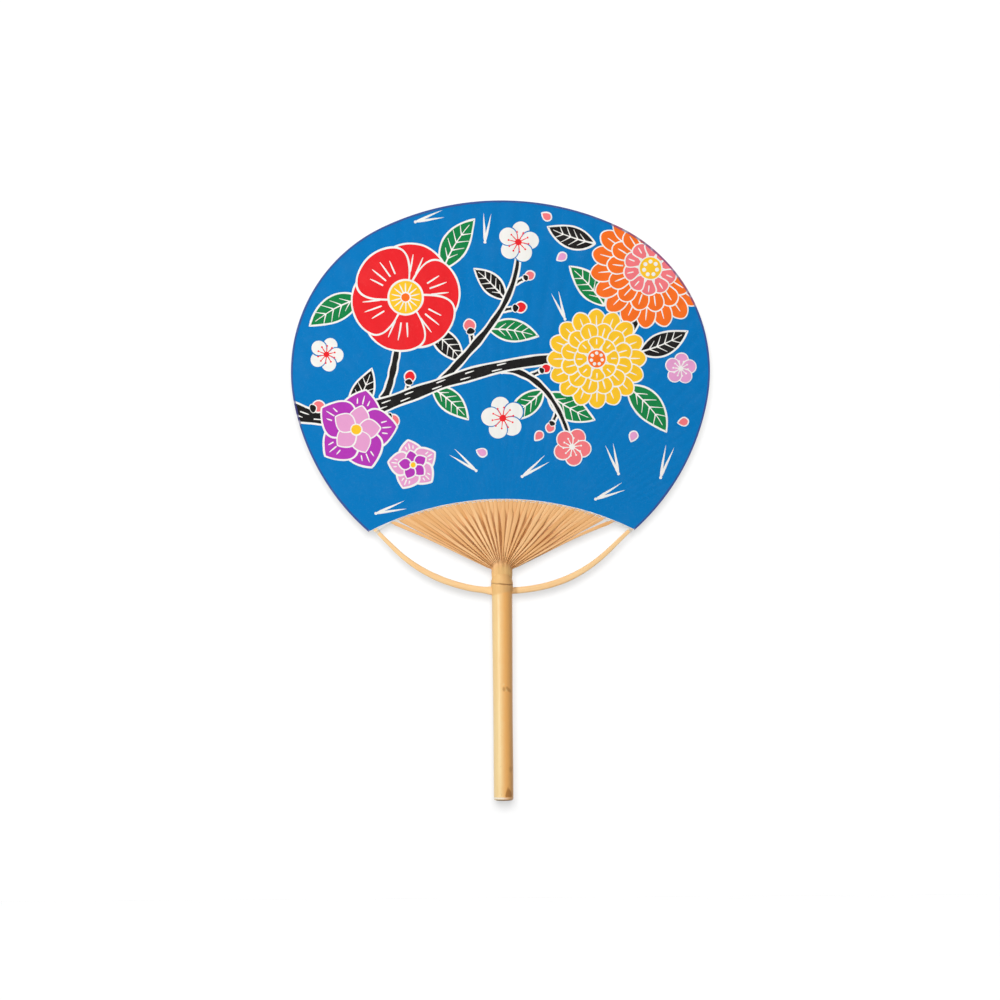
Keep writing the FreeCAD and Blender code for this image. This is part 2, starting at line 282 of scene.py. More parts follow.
def spline(points, resolution):
    """Points along the NURBS curve of order 3 that has these control points."""
    route = bpy.data.curves.new("route", "CURVE")
    route.dimensions = "3D"
    line = route.splines.new("NURBS")
    line.points.add(len(points) - 1)
    for control, point in zip(line.points, points):
        control.co = (*point, 1)
    line.order_u = 3
    line.use_endpoint_u = True
    line.resolution_u = resolution
    holder = bpy.data.objects.new("route", route)
    bpy.context.collection.objects.link(holder)
    mesh = bpy.data.meshes.new_from_object(holder.evaluated_get(bpy.context.evaluated_depsgraph_get()))
    found = np.array([vertex.co for vertex in mesh.vertices])
    bpy.data.objects.remove(holder)
    bpy.data.curves.remove(route)
    bpy.data.meshes.remove(mesh)
    return found


def carried_frames(line):
    """Two unit vectors square to a line at each of its points, carried along it without twist."""
    along = unit(np.gradient(line, axis=0))
    first = unit(np.cross(along[0], (0, 0, 1)))
    firsts = [first]
    for way in along[1:]:
        first = unit(first - way * np.dot(first, way))
        firsts.append(first)
    firsts = np.array(firsts)
    return firsts, np.cross(along, firsts)


# Shader nodes

def both_sides(operation):
    """An operator's two forms: with the value on its left, and reflected, with it on its right."""
    return (lambda value, other: value.finish.maths(operation, value, other),
            lambda value, other: value.finish.maths(operation, other, value))


class Value:
    """Output of a shader node; an expression on values adds its Math nodes."""
    __add__, __radd__ = both_sides("ADD")
    __sub__, __rsub__ = both_sides("SUBTRACT")
    __mul__, __rmul__ = both_sides("MULTIPLY")
    __truediv__, __rtruediv__ = both_sides("DIVIDE")
    __pow__, __rpow__ = both_sides("POWER")

    def __init__(self, finish, socket):
        self.finish = finish
        self.socket = socket

    def __abs__(self):
        return self.finish.maths("ABSOLUTE", self)


class Nodes:
    """A node tree whose nodes are added one by one."""

    def __init__(self, tree):
        self.tree = tree

    def feed(self, socket, value):
        if isinstance(value, Value):
            self.tree.links.new(value.socket, socket)
        else:
            socket.default_value = value

    def node(self, kind, settings, inputs, output=0):
        """Node of a type, with its settings, then the values or links of its sockets; gives one output."""
        made = self.tree.nodes.new("ShaderNode" + kind)
        for name, value in settings.items():
            setattr(made, name, value)
        for name, value in inputs.items():
            self.feed(made.inputs[name], value)
        return Value(self, made.outputs[output])

    def maths(self, operation, *values):
        return self.node("Math", {"operation": operation}, dict(enumerate(values)))

    def mix(self, share, first, second, blend="MIX"):
        """Colour between two colours."""
        settings = {"data_type": "RGBA", "blend_type": blend}
        ends = [one if isinstance(one, Value) else (*one[:3], 1) for one in (first, second)]
        return self.node("Mix", settings, {0: share, 6: ends[0], 7: ends[1]}, 2)

    def place(self):
        """Point of the surface in the fan's own frame."""
        return self.node("TexCoord", {}, {}, "Object")

    def attribute(self, name, output):
        return self.node("Attribute", {"attribute_name": name}, {}, output)

    def stretched(self, vector, scales):
        return self.node("VectorMath", {"operation": "MULTIPLY"}, {0: vector, 1: scales})

    def noise(self, vector, scale, detail=2.0, roughness=0.5):
        inputs = {"Vector": vector, "Scale": scale, "Detail": detail, "Roughness": roughness}
        return self.node("TexNoise", {}, inputs, "Fac")

    def fibres(self, vector, scales, scale, detail=2.0, roughness=0.5):
        """Noise that is drawn out along the grain."""
        return self.noise(self.stretched(vector, scales), scale, detail, roughness)

    def hairs(self, vector, scale, detail, width, roughness=0.5):
        """Fine winding lines where a noise passes its middle."""
        return self.ramp(abs(self.noise(vector, scale, detail, roughness) - 0.5), width, 0.002)

    def parts(self, vector):
        """The three numbers of a vector."""
        return [self.node("SeparateXYZ", {}, {0: vector}, axis) for axis in "XYZ"]

    def ramp(self, value, low, high):
        """Smooth step from 0 at low to 1 at high; low may be the larger."""
        inputs = {"Value": value, "From Min": low, "From Max": high}
        return self.node("MapRange", {"interpolation_type": "SMOOTHSTEP"}, inputs)

    def bump(self, height, distance, strength=1.0):
        inputs = {"Height": height, "Distance": distance, "Strength": strength}
        return self.node("Bump", {}, inputs, "Normal")

    def looked_at(self):
        """1 where a surface is looked at, straight, mirrored or through; 0 where it only lights."""
        straight, mirrored, through = (self.node("LightPath", {}, {}, f"Is {kind} Ray")
                                       for kind in ("Camera", "Glossy", "Transmission"))
        return self.maths("MINIMUM", straight + mirrored + through, 1.0)


class Finish(Nodes):
    """A material with the nodes before its Principled shader."""

    def __init__(self, name, constants):
        self.material = bpy.data.materials.new(name)
        self.material.use_nodes = True
        super().__init__(self.material.node_tree)
        self.shader = self.tree.nodes["Principled BSDF"]
        self.set(constants)

    def set(self, inputs):
        """Constants or links of the Principled shader's sockets."""
        for name, value in inputs.items():
            self.feed(self.shader.inputs[name], value)

    def dressed(self, base, roughness, relief, depth, strength):
        """The material with its colour, its roughness and a fine relief."""
        self.set({"Base Color": base, "Roughness": roughness, "Normal": self.bump(relief, depth, strength)})
        return self.material


def culm_marks(finish, colours, skin, x, y, z, wander):
    """Skin of the handle with its bud scar and stains on the front, a painted highlight along the rounded
    rim of its end and a painted shade line below it.
    """
    front = finish.ramp(y, 0.0, -2 * MM)

    def spot(across, height, wide, tall, lean=0.0):
        """Soft mark, 1 at its middle, placed in millimetres; it may fall towards the right."""
        aside = x + wander * 0.7 - across * MM
        rise = z + wander * 1.5 - height * MM + aside * lean
        return finish.ramp((aside / (wide * MM)) ** 2 + (rise / (tall * MM)) ** 2, 1.0, 0.0) * front

    bud = spot(0.6, 67, 1.0, 2.1) + spot(3.4, 66.5, 2.2, 1.7, 0.75)
    skin = finish.mix(bud * 0.55, skin, colours.hollow)
    bright = spot(0.6, 69.9, 0.9, 0.9) + spot(2.1, 66.1, 0.7, 1.2)
    skin = finish.mix(bright * 0.35, skin, colours.culm)
    spread = finish.ramp(z + wander, 9.6 * MM, 3.0 * MM)
    wedge = finish.ramp(x + wander + spread * (1.3 * MM), 2.1 * MM, 2.9 * MM)
    wedge = wedge * finish.ramp(x + wander - spread * (2.4 * MM), 3.4 * MM, 2.0 * MM)
    wedge = wedge * finish.ramp(z + wander, 9.8 * MM, 6.0 * MM)
    wedge = wedge * finish.ramp(z + wander * 0.4, 1.8 * MM, 2.8 * MM)
    stain = wedge * front * 0.8 + spot(4.3, 18.8, 1.3, 2.6) * 0.35
    skin = finish.mix(stain, skin, colours.hollow)
    low = z + wander * 0.25
    # Painted highlight: a pale band along the end's rounded rim, strongest on the left, in the paper's
    # white.
    rim = finish.ramp(abs(low - 1.5 * MM), 0.8 * MM, 0.3 * MM)
    rim = rim * (0.15 + finish.ramp(x, 4 * MM, -1 * MM) * 0.45)
    skin = finish.mix(rim, skin, colours.paper)
    # Painted shade: a dark line along the underside of the end's rounding.
    end_shade_line = finish.ramp(low, 0.95 * MM, 0.5 * MM) * finish.ramp(abs(x), 5.4 * MM, 3.4 * MM)
    return finish.mix(end_shade_line * 0.8, skin, blend(0.55, colours.scar_and_shade, colours.ink))


def culm_finish(colours, node_height):
    """Glossy bamboo skin with long fibres, scraped off round the node; painted sheen makes its left side
    paler and painted shade its right side warmer.
    """
    finish = Finish("culm_skin", {"Coat Roughness": 0.16, "Specular IOR Level": 0.38})
    place = finish.place()
    x, y, z = finish.parts(place)
    fibre = finish.fibres(place, (1, 1, 0.018), 2300, 4.0, 0.6)
    strand = finish.fibres(place, (1, 1, 0.006), 700)
    cloud = finish.fibres(place, (1, 1, 0.35), 85, 3.0)
    wander = (finish.noise(place, 260) - 0.5) * (1.2 * MM)
    # Painted sheen and shade: the skin turns from pale on the left to warm on the right as the light falls
    # across the handle, on the scraped neck too.
    right_side_shade = finish.ramp(x + wander, -2.8 * MM, 2.2 * MM)
    lit_side_skin = finish.mix(finish.ramp(z, 20 * MM, 110 * MM) * 0.2, colours.culm, colours.culm_warm)
    skin = finish.mix(right_side_shade, lit_side_skin, colours.culm_warm)
    # Painted shade: the right flank darkens towards the handle's lower end.
    painted_lower_right_shade = finish.ramp(x + wander, 2.4 * MM, 5.4 * MM) * (0.04 + finish.ramp(z, 90 * MM, 10 * MM) * 0.16)
    skin = finish.mix(painted_lower_right_shade, skin, colours.scar_and_shade)
    shade = finish.ramp(fibre * 0.45 + strand * 0.35 + cloud * 0.35, 0.42, 0.78)
    skin = finish.mix(shade * 0.3, skin, colours.split_shade)
    edge = z - x * 0.22 + (x / (6 * MM)) ** 2 * (0.5 * MM) + wander * 0.8
    bare = finish.ramp(edge, node_height - 6.0 * MM, node_height - 4.4 * MM)
    scraped = finish.mix(shade * 0.4 + right_side_shade * 0.45, colours.shaved, colours.split_shade)
    skin = finish.mix(bare, skin, scraped)
    speckle = finish.ramp(finish.fibres(place, (1, 1, 0.25), 1500), 0.7, 0.78)
    skin = finish.mix(speckle * 0.25, skin, colours.scar_and_shade)

    tilted = z + x * NODE_TILT + wander * 0.9 - node_height
    faint = 0.35 + finish.ramp(x + wander * 3, -4.5 * MM, -0.5 * MM) * 0.3
    node_line = finish.ramp(abs(tilted), 0.7 * MM, 0.1 * MM) * faint
    skin = finish.mix(node_line, skin, colours.scar_and_shade)
    skin = culm_marks(finish, colours, skin, x, y, z, wander)
    gloss = 0.36 + bare * 0.2 + (cloud - 0.5) * 0.2 + node_line * 0.2
    finish.set({"Coat Weight": 0.16 - bare * 0.15})
    return finish.dressed(skin, gloss, fibre + strand * 0.7 - node_line * 1.5, 0.06 * MM, 0.5)


def plug_finish(colours):
    """End grain with rings and pores."""
    finish = Finish("plug_end_grain", {"Specular IOR Level": 0.3})
    place = finish.place()
    x, y, z = finish.parts(place)
    wander = finish.noise(place, 900, 3.0)
    radius = (x**2 + y**2) ** 0.5 + wander * (0.5 * MM)
    rings = finish.maths("SINE", radius * (2 * math.pi / (0.55 * MM))) * 0.5 + 0.5
    pores = finish.ramp(finish.noise(place, 5200, 2.0), 0.6, 0.72)
    wood = finish.mix(rings * 0.5 + wander * 0.4, colours.split_shade, colours.scar_and_shade)
    wood = finish.mix(pores * 0.6, wood, colours.ink)
    return finish.dressed(wood, 0.72 + wander * 0.2, rings * 0.4 - pores, 0.05 * MM, 0.6)


def split_finish(name, light, dark, colours):
    """Shaved bamboo whose fibres follow the grain attribute: across, through and along, in metres.

    The form attribute holds how near a point is to a rib's flank, its share of the way to the lacing
    and the rib's tone. Painted shade darkens the flanks where the ribs stand apart, the grooves at some
    roots and, on the bow, where it enters the handle.
    """
    finish = Finish(name, {"Specular IOR Level": 0.35})
    grain = finish.attribute("grain", "Vector")
    flank, share, tone = finish.parts(finish.attribute("form", "Vector"))
    fibre = finish.fibres(grain, (1, 1, 0.02), 5200, 3.0, 0.6)
    strand = finish.fibres(grain, (1, 1, 0.012), 1700)
    cloud = finish.fibres(grain, (0.1, 0.1, 0.5), 90)
    shade = finish.ramp(fibre * 0.35 + strand * 0.6 + cloud * 0.4 + tone * 0.16, 0.52, 0.84)
    wood = finish.mix(shade, light, dark)
    fleck = finish.ramp(finish.fibres(grain, (1, 1, 0.05), 3300, 1.0), 0.72, 0.8)
    wood = finish.mix(fleck * 0.35, wood, colours.scar_and_shade)
    wood = finish.mix(finish.ramp(share, 0.6, 0.95) * 0.3, wood, dark)
    # Painted shade: dark lines at the roots of some ribs stand for the grooves between them.
    root_groove_shade = finish.ramp(share, 0.32, 0.04) * finish.ramp(tone, 0.0, 0.3)
    wood = finish.mix(root_groove_shade * 0.5, wood, colours.hollow)
    wood = finish.mix(finish.ramp(share, 0.02, -0.08) * 0.8, wood, colours.shaved)
    # Painted shade between the ribs: their flanks darken along the middle of their run, where they stand
    # apart; on the bow it darkens its entry into the handle.
    deep = finish.ramp(flank, 0.62, 1.0) * finish.ramp(share, -0.06, 0.14) * finish.ramp(share, 0.93, 0.55)
    wood = finish.mix(deep * 0.7, wood, colours.hollow)
    return finish.dressed(wood, 0.5 + (fibre - 0.5) * 0.3, fibre + strand, 0.03 * MM, 0.5)


def print_finish(colours):
    """Dyed paper: the dye is an attribute, mottled by the paper's fibres."""
    finish = Finish("printed_paper", {"Specular IOR Level": 0.05})
    place = finish.place()
    laid = finish.attribute("dye", "Color")
    grain = finish.noise(place, 1700, 3.0, 0.65)
    cloud = finish.noise(place, 55, 4.0, 0.6)
    fibre = finish.hairs(place, 210, 3.0, 0.012, 0.55)
    hair = finish.hairs(place, 420, 2.0, 0.014)
    light = finish.mix(0.5, laid, colours.paper)
    washed = finish.mix(finish.ramp(cloud, 0.45, 0.8) * 0.02 + fibre * 0.02 + hair * 0.02, laid, light)
    deep = finish.mix(1.0, washed, (0.72, 0.78, 0.84), "MULTIPLY")
    washed = finish.mix(finish.ramp(grain, 0.5, 0.75) * 0.14, washed, deep)
    relief = grain * 0.6 + fibre * 0.5 + hair * 0.5
    return finish.dressed(washed, 0.7 + (grain - 0.5) * 0.25, relief, 0.04 * MM, 0.6)


def plain_paper_finish(colours):
    """Undyed paper with long fibres and a few flecks of bark."""
    finish = Finish("plain_paper", {"Specular IOR Level": 0.25})
    place = finish.place()
    cloud = finish.noise(place, 60, 4.0, 0.6)
    grain = finish.noise(place, 1500, 3.0, 0.65)
    fibre = finish.hairs(place, 180, 3.0, 0.012)
    hair = finish.hairs(place, 390, 2.0, 0.014)
    sheet = finish.mix(cloud * 0.5 + grain * 0.25, colours.paper, dye(226, 219, 202))
    sheet = finish.mix(fibre * 0.3 + hair * 0.25, sheet, dye(252, 250, 244))
    bark = finish.ramp(finish.noise(place, 640, 1.0), 0.8, 0.84)
    sheet = finish.mix(bark * 0.5, sheet, colours.split_shade)
    return finish.dressed(sheet, 0.74 + (grain - 0.5) * 0.25, grain * 0.5 + fibre + hair, 0.05 * MM, 0.6)


def strip_finish(colours):
    """Thin dyed paper strip: the attribute holds the dye with what shows through from beneath."""
    finish = Finish("edge_strip_paper", {"Specular IOR Level": 0.25})
    place = finish.place()
    laid = finish.attribute("dye", "Color")
    cloud = finish.noise(place, 240, 3.0, 0.6)
    grain = finish.noise(place, 2200, 2.0)
    worn = finish.mix(0.45, laid, colours.paper)
    paper = finish.mix(finish.ramp(cloud, 0.55, 0.8) * 0.14, laid, worn)
    return finish.dressed(paper, 0.62 + (grain - 0.5) * 0.3, grain + cloud, 0.03 * MM, 0.6)


def thread_finish(colours):
    """Undyed cotton with painted shade in the hollows between its plies."""
    finish = Finish("cotton_thread", {"Sheen Weight": 0.25, "Specular IOR Level": 0.2})
    # The grain attribute holds where the painted shade between the plies falls.
    ply = finish.attribute("grain", "Fac")
    fuzz = finish.noise(finish.place(), 9000, 2.0)
    cotton = finish.mix(ply * 0.5 + fuzz * 0.15, colours.thread, dye(212, 219, 218))
    return finish.dressed(cotton, 0.8 + fuzz * 0.15, fuzz, 0.02 * MM, 0.5)


# The leaf's plan

class Rib:
    """A rib's line, read from its solid in the frame."""
    bend_height = 1.0 * MM
    stand_off = 0.0

    def __init__(self, name):
        node = frame["nodes"][name]
        corners = np.unique(np.round([vertex.co for vertex in node.data.vertices], 7), axis=0)
        foot = corners[corners[:, 2] < corners[:, 2].min() + 0.01 * MM]
        reach = np.linalg.norm(corners - foot.mean(0), axis=1)
        tip = corners[np.argsort(reach)[-4:]]
        self.name = name
        self.side = 1 if name.startswith("front") else -1
        self.foot = foot.mean(0)
        self.bend = self.foot + (0, 0, self.bend_height)
        self.flat_bend = self.bend[[0, 2]]
        along = tip.mean(0)[[0, 2]] - self.flat_bend
        self.angle = math.atan2(*along)
        self.reach = np.linalg.norm(along)
        self.width = np.ptp(tip[:, [0, 2]] @ heading(self.angle + math.pi / 2))

    def flat(self, run):
        """Point of the solid's centre line at a distance from the bend, in the leaf's plane."""
        return self.flat_bend + heading(self.angle) * run

    def lay_course(self, leaf):
        """Line from the split neck, which is lower at its sides, to where the solid passes the lacing."""
        self.outward = unit(np.array((self.foot[0], self.foot[1], 0)))
        self.low_foot = self.foot - (0, 0, split_fall(self.outward[0]))
        self.start = self.low_foot[[0, 2]] + (0, self.bend_height)
        self.laced = leaf.reach_to_window(self.flat_bend, self.angle, LACING_DROP)
        toward = self.flat(self.laced) - self.start
        self.course_angle = math.atan2(*toward)
        self.lace = np.linalg.norm(toward)

    def course(self, run):
        """Point at a distance along the course and, past the lacing, on the solid's centre line."""
        if run > self.lace:
            return self.flat(self.laced + run - self.lace)
        return self.start + heading(self.course_angle) * run

    def splay(self, runs):
        """How far the rib stands off to the right, most at the lacing; it comes back between the sheets."""
        free = np.clip(2 * runs / self.lace - 1, 0, 1)
        hidden = np.clip((runs - self.lace) / (self.reach - self.laced), 0, 1)
        return self.stand_off * free**2 * (1 - hidden)

    def laced_at(self, leaf, drop):
        """Where the rib passes a line under the paper's edge."""
        start = self.flat_bend + heading(self.angle + math.pi / 2) * self.stand_off
        return start + heading(self.angle) * leaf.reach_to_window(start, self.angle, drop)


class Leaf:
    """Plan of the leaf, across and up: its round edge, the window under its lower edge, and its ribs."""
    edge_step = 1.2 * MM
    fade = 3.0 * MM
    print_drop = 9.5 * MM
    outermost_stand_off = (-1.2 * MM, 2.0 * MM)

    def __init__(self, sizes):
        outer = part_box("edge_binding")[1]
        paper_low, paper_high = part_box("front_paper")
        turn = math.asin((outer.x - sizes.shoulder_radius) / (sizes.crown_radius - sizes.shoulder_radius))
        crown = np.array((0, outer.z - sizes.crown_radius))
        shoulder = crown + heading(turn) * (sizes.crown_radius - sizes.shoulder_radius)
        flank = shoulder + heading(sizes.flank_turn) * (sizes.shoulder_radius - sizes.flank_radius)
        self.arcs = ((crown, sizes.crown_radius, 0.0, turn),
                     (shoulder, sizes.shoulder_radius, turn, sizes.flank_turn),
                     (flank, sizes.flank_radius, sizes.flank_turn, math.pi))
        self.window = np.array((0, sizes.window_top - sizes.window_radius))
        self.window_radius = sizes.window_radius
        self.half_width = outer.x
        self.middle = np.array((0, (sizes.window_top + outer.z) / 2 - self.print_drop))
        self.paper_inset = outer.x - paper_high.x
        self.outer_depth, self.inner_depth = -paper_low.y, -paper_high.y
        self.sag = sizes.rib_sag
        self.ribs = [Rib(name) for name in frame["nodes"] if "_rib_" in name]
        self.ribs.sort(key=lambda rib: rib.angle)
        self.ribs[0].stand_off, self.ribs[-1].stand_off = self.outermost_stand_off
        for rib in self.ribs:
            rib.lay_course(self)

    def corner(self, inset):
        """Where the flank, moved inwards, meets the window's arc on the right."""
        centre, radius, _, _ = self.arcs[2]
        between = self.window - centre
        apart = np.linalg.norm(between)
        along = ((radius - inset) ** 2 - self.window_radius**2 + apart**2) / (2 * apart)
        aside = math.sqrt((radius - inset) ** 2 - along**2)
        toward = between / apart
        return centre + toward * along + np.array((-toward[1], toward[0])) * aside

    def rim(self, inset=0.0):
        """Round edge, moved inwards, from the lower left corner over the crown to the lower right one."""
        corner = self.corner(inset)
        right = []
        for centre, radius, start, end in self.arcs:
            end = min(end, math.atan2(*(corner - centre)))
            turns = np.linspace(start, end, round((end - start) * radius / self.edge_step), endpoint=False)
            right.append(centre + heading(turns) * (radius - inset))
        right = np.concatenate(right + [corner[None]])
        return np.concatenate([right[:0:-1] * (-1, 1), right])

    def outline(self, inset):
        """Closed outline of a sheet: its rim, then its lower edge from right to left."""
        rim = self.rim(inset)
        turn = math.atan2(*(rim[-1] - self.window))
        count = round(2 * turn * self.window_radius / self.edge_step)
        low = self.window + heading(np.linspace(turn, -turn, count)[1:-1]) * self.window_radius
        return np.concatenate([rim, low])

    def reach_to_window(self, start, angle, drop):
        """Distance from a point under the window to its arc, lowered, along a heading."""
        offset = start + (0, drop) - self.window
        middle = -offset @ heading(angle)
        return middle + math.sqrt(middle**2 - offset @ offset + self.window_radius**2)

    def dips(self, spots, edge):
        """Depth of the stretched paper's dips between the ribs; it lies flat by its edge."""
        feet = np.array([rib.flat_bend for rib in self.ribs])
        ways = heading(np.array([rib.angle for rib in self.ribs]))
        away = spots[:, None] - feet
        aside = away[..., 0] * ways[:, 1] - away[..., 1] * ways[:, 0]
        right = np.where(aside > 0, aside, np.inf).min(1)
        left = np.where(aside <= 0, -aside, np.inf).min(1)
        width = self.ribs[0].width
        gap = np.maximum(right + left - width, 0)
        gap = np.where(np.isfinite(gap), gap, 0)
        share = np.clip((np.minimum(left, right) - width / 2) / np.maximum(gap / 2, 0.1 * MM), 0, 1)
        room = np.array([edge.find((*spot, 0))[2] for spot in spots])
        room = np.clip(room / self.fade, 0, 1)
        return self.sag * gap * share**2 * (3 - 2 * share) * room**2 * (3 - 2 * room)

    def relief_spots(self):
        """Points along the ribs' edges and between them, where the paper changes its slope."""
        step = 4.5 * MM
        spots = []
        for rib, other in zip(self.ribs, self.ribs[1:]):
            start = self.reach_to_window(rib.flat_bend, rib.angle, 0)
            for run in np.arange(start + self.fade / 2, rib.reach, step):
                here, there = rib.flat(run), other.flat(run)
                edge = (there - here) / np.linalg.norm(there - here) * rib.width / 2
                inner, outer = here + edge, there - edge
                spots += [inner + (outer - inner) * share for share in (0, 0.22, 0.5, 0.78, 1)]
        return np.array(spots)


# The print

def rotated(points, turn, centre=(0, 0)):
    """Points turned clockwise about the origin and moved to a centre."""
    c, s = math.cos(turn), math.sin(turn)
    x, y = points.T
    return np.column_stack([x * c + y * s, y * c - x * s]) + np.asarray(centre)


def petal(length, width, widest=0.6, blunt=0.5, steps=11):
    """Outline that points up from its base; a blunt of 0.5 is round at both ends and 1 is pointed."""
    along = (1 - np.cos(np.linspace(0, math.pi, steps))) / 2
    half = width / 2 * np.sin(math.pi * along ** (math.log(0.5) / math.log(widest))) ** blunt
    right = np.column_stack([half, along * length])
    return np.concatenate([right, (right * (-1, 1))[-2:0:-1]])


def disc(centre, radius, count=18):
    return heading(even_turns(count)) * radius + centre


def curled(points, curl):
    """Points whose upright axis is bent to the right by a turn per unit of height."""
    out = 1 / curl - points[:, 0]
    turn = points[:, 1] * curl
    return np.column_stack([1 / curl - out * np.cos(turn), out * np.sin(turn)])


def curve(a, b, c, d, count=24):
    """Points of the cubic curve with these four control points."""
    t = np.linspace(0, 1, count)[:, None]
    a, b, c, d = (np.asarray(p, float) for p in (a, b, c, d))
    return a * (1 - t) ** 3 + 3 * b * t * (1 - t) ** 2 + 3 * c * t**2 * (1 - t) + d * t**3


def sideways(points, closed):
    """Unit vectors square to a line, to the right of its run."""
    step = np.roll(points, -1, 0) - np.roll(points, 1, 0) if closed else np.gradient(points, axis=0)
    step = step / np.maximum(np.linalg.norm(step, axis=1, keepdims=True), 1e-9)
    return np.column_stack([step[:, 1], -step[:, 0]])


def stroke(line, widths):
    """Outline of a brush stroke with a width at each point of its line."""
    away = sideways(line, False) * (widths / 2)[:, None]
    return np.concatenate([line + away, (line - away)[::-1]])


def signed_area(outline):
    """Area within a closed outline, negative where it runs clockwise."""
    x, y = outline.T
    return np.sum(x * np.roll(y, -1) - y * np.roll(x, -1)) / 2


def inset(outline, by):
    """Outline moved inwards by a distance."""
    return outline - sideways(outline, True) * (by * np.sign(signed_area(outline)))


def inside(spots, outline):
    """Which spots lie within a closed outline, by the times that a line from each crosses it."""
    x, y = spots.T[:, :, None]
    x1, y1 = outline.T
    x2, y2 = np.roll(outline, -1, 0).T
    rise = np.where(y2 == y1, 1, y2 - y1)
    crossing = ((y1 > y) != (y2 > y)) & (x < x1 + (y - y1) / rise * (x2 - x1))
    return np.count_nonzero(crossing, axis=1) % 2 == 1


class Spray:
    """A flowering spray as dyed areas, each an outline and a dye, in the order in which they are laid down.

    Its unit is half the leaf's width, and its origin is the middle of the leaf.
    """
    line = 0.0092
    thin = 0.0062

    def __init__(self):
        self.areas = []

    def lay(self, outline, dye):
        self.areas.append((outline, dye))

    def edged(self, outline, dye, line=line, edge="paper"):
        """An area inside a line that the dye leaves out."""
        self.lay(outline, edge)
        self.lay(inset(outline, line), dye)

    def mark(self, start, end, width=thin, dye="paper"):
        """A short brush mark that thins out to its end."""
        t = np.linspace(0, 1, 6)
        line = np.asarray(start) + np.outer(t, np.asarray(end) - start)
        self.lay(stroke(line, width * np.sqrt((0.35 + t) * (1.04 - t)) * 1.45), dye)

    def ring(self, count, turn):
        return turn + even_turns(count)

    def leaf(self, base, turn, length, curl, dye):
        """Pointed leaf with a white midrib and veins."""
        width = 0.46 * length
        self.edged(rotated(curled(petal(length, width, 0.45, 0.85, 13), curl), turn, base), dye)
        axis = np.outer(np.linspace(0.02, 0.86, 10), (0, length))
        midrib = stroke(axis, self.line * np.linspace(1, 0.3, 10))
        self.lay(rotated(curled(midrib, curl), turn, base), "paper")
        for share in (0.2, 0.35, 0.5, 0.65):
            reach = 0.36 * width * math.sin(math.pi * share**0.87)
            for side in (-reach, reach):
                ends = np.array([(0, share), (side / length, share + 0.14)]) * length
                vein = ends[0] + np.outer(np.linspace(0, 1, 5), ends[1] - ends[0])
                shape = stroke(vein, self.thin * np.linspace(1, 0.35, 5))
                self.lay(rotated(curled(shape, curl), turn, base), "paper")

    def chrysanthemum(self, centre, radius, dyes, petals, turn):
        """Rings of round petals from the outside in, and a button in the middle."""
        for step, dye in enumerate(dyes[:-1]):
            reach = radius * (1 - 0.27 * step)
            count = petals - 4 * step
            for angle in self.ring(count, turn + math.pi * step / count):
                foot = centre + heading(angle) * reach * 0.2
                shape = petal(reach * 0.8, 6.1 * reach / count, 0.72, 0.55, 9)
                self.edged(rotated(shape, angle, foot), dye, self.thin)
                self.mark(centre + heading(angle) * reach * 0.62, centre + heading(angle) * reach * 0.86)
        self.edged(disc(centre, radius * 0.2), dyes[-1], self.thin)
        for angle in self.ring(7, 0):
            self.lay(disc(centre + heading(angle) * radius * 0.11, radius * 0.035, 8), "paper")

    def camellia(self, centre, radius, dye, turn):
        """Broad overlapping petals round a brush of stamens."""
        for angle in self.ring(6, turn):
            self.edged(rotated(petal(radius, radius * 1.12, 0.62, 0.52, 13), angle, centre), dye)
            for lean in (-0.34, -0.12, 0.12, 0.34):
                way = heading(angle + lean) * radius
                self.mark(centre + way * 0.46, centre + way * (0.82 - 0.3 * abs(lean)), self.line * 0.85)
        self.edged(disc(centre, radius * 0.33, 26), "gold")
        for angle in self.ring(14, 0):
            self.mark(centre + heading(angle) * radius * 0.1, centre + heading(angle) * radius * 0.26)
        self.edged(disc(centre, radius * 0.1, 12), "orange", self.thin)

    def bellflower(self, centre, radius, dyes, turn):
        """Five pointed petals with paler hearts."""
        for angle in self.ring(5, turn):
            self.edged(rotated(petal(radius, radius * 0.98, 0.46, 0.8, 12), angle, centre), dyes[0])
        heart = petal(radius * 0.6, radius * 0.5, 0.5, 0.8, 10)
        for angle in self.ring(5, turn):
            self.edged(rotated(heart, angle, centre), dyes[1], self.thin)
            for lean in (-0.2, 0, 0.2):
                way = heading(angle + lean) * radius
                self.mark(centre + way * 0.62, centre + way * (0.84 - 0.4 * abs(lean)))
        self.edged(disc(centre, radius * 0.15, 12), "gold", self.thin)

    def plum(self, centre, radius, dyes, edge, turn):
        """Five round petals and a burst of stamens."""
        for angle in self.ring(5, turn):
            middle = centre + heading(angle) * radius * 0.56
            self.edged(disc(middle, radius * 0.47), dyes[0], self.thin * 0.8, edge)
        self.lay(disc(centre, radius * 0.3, 14), dyes[0])
        for angle in self.ring(10, turn + math.pi / 10):
            tip = centre + heading(angle) * radius * 0.48
            self.mark(centre, tip, self.thin * 0.8, dyes[1])
            self.lay(disc(tip, self.thin * 0.75, 8), dyes[1])
        self.lay(disc(centre, radius * 0.16, 12), dyes[1])

    def bud(self, base, turn, length, dye):
        """Closed blossom in its dark cup."""
        self.edged(rotated(petal(length, length * 0.85, 0.55, 0.55, 10), turn, base), dye, self.thin)
        cup = petal(length * 0.5, length * 0.62, 0.4, 0.6, 8)
        self.edged(rotated(cup, turn, base - heading(turn) * 0.06 * length), "ink", self.thin * 0.6)

    def branch(self, line, start, end):
        """Knotted branch that thins from its start to its end."""
        t = np.linspace(0, 1, len(line))
        knots = 1 + 0.1 * np.sin(37 * t) + 0.08 * np.sin(17 * t + 1)
        self.edged(stroke(line, (start + (end - start) * t) * knots + 2 * self.line), "ink")

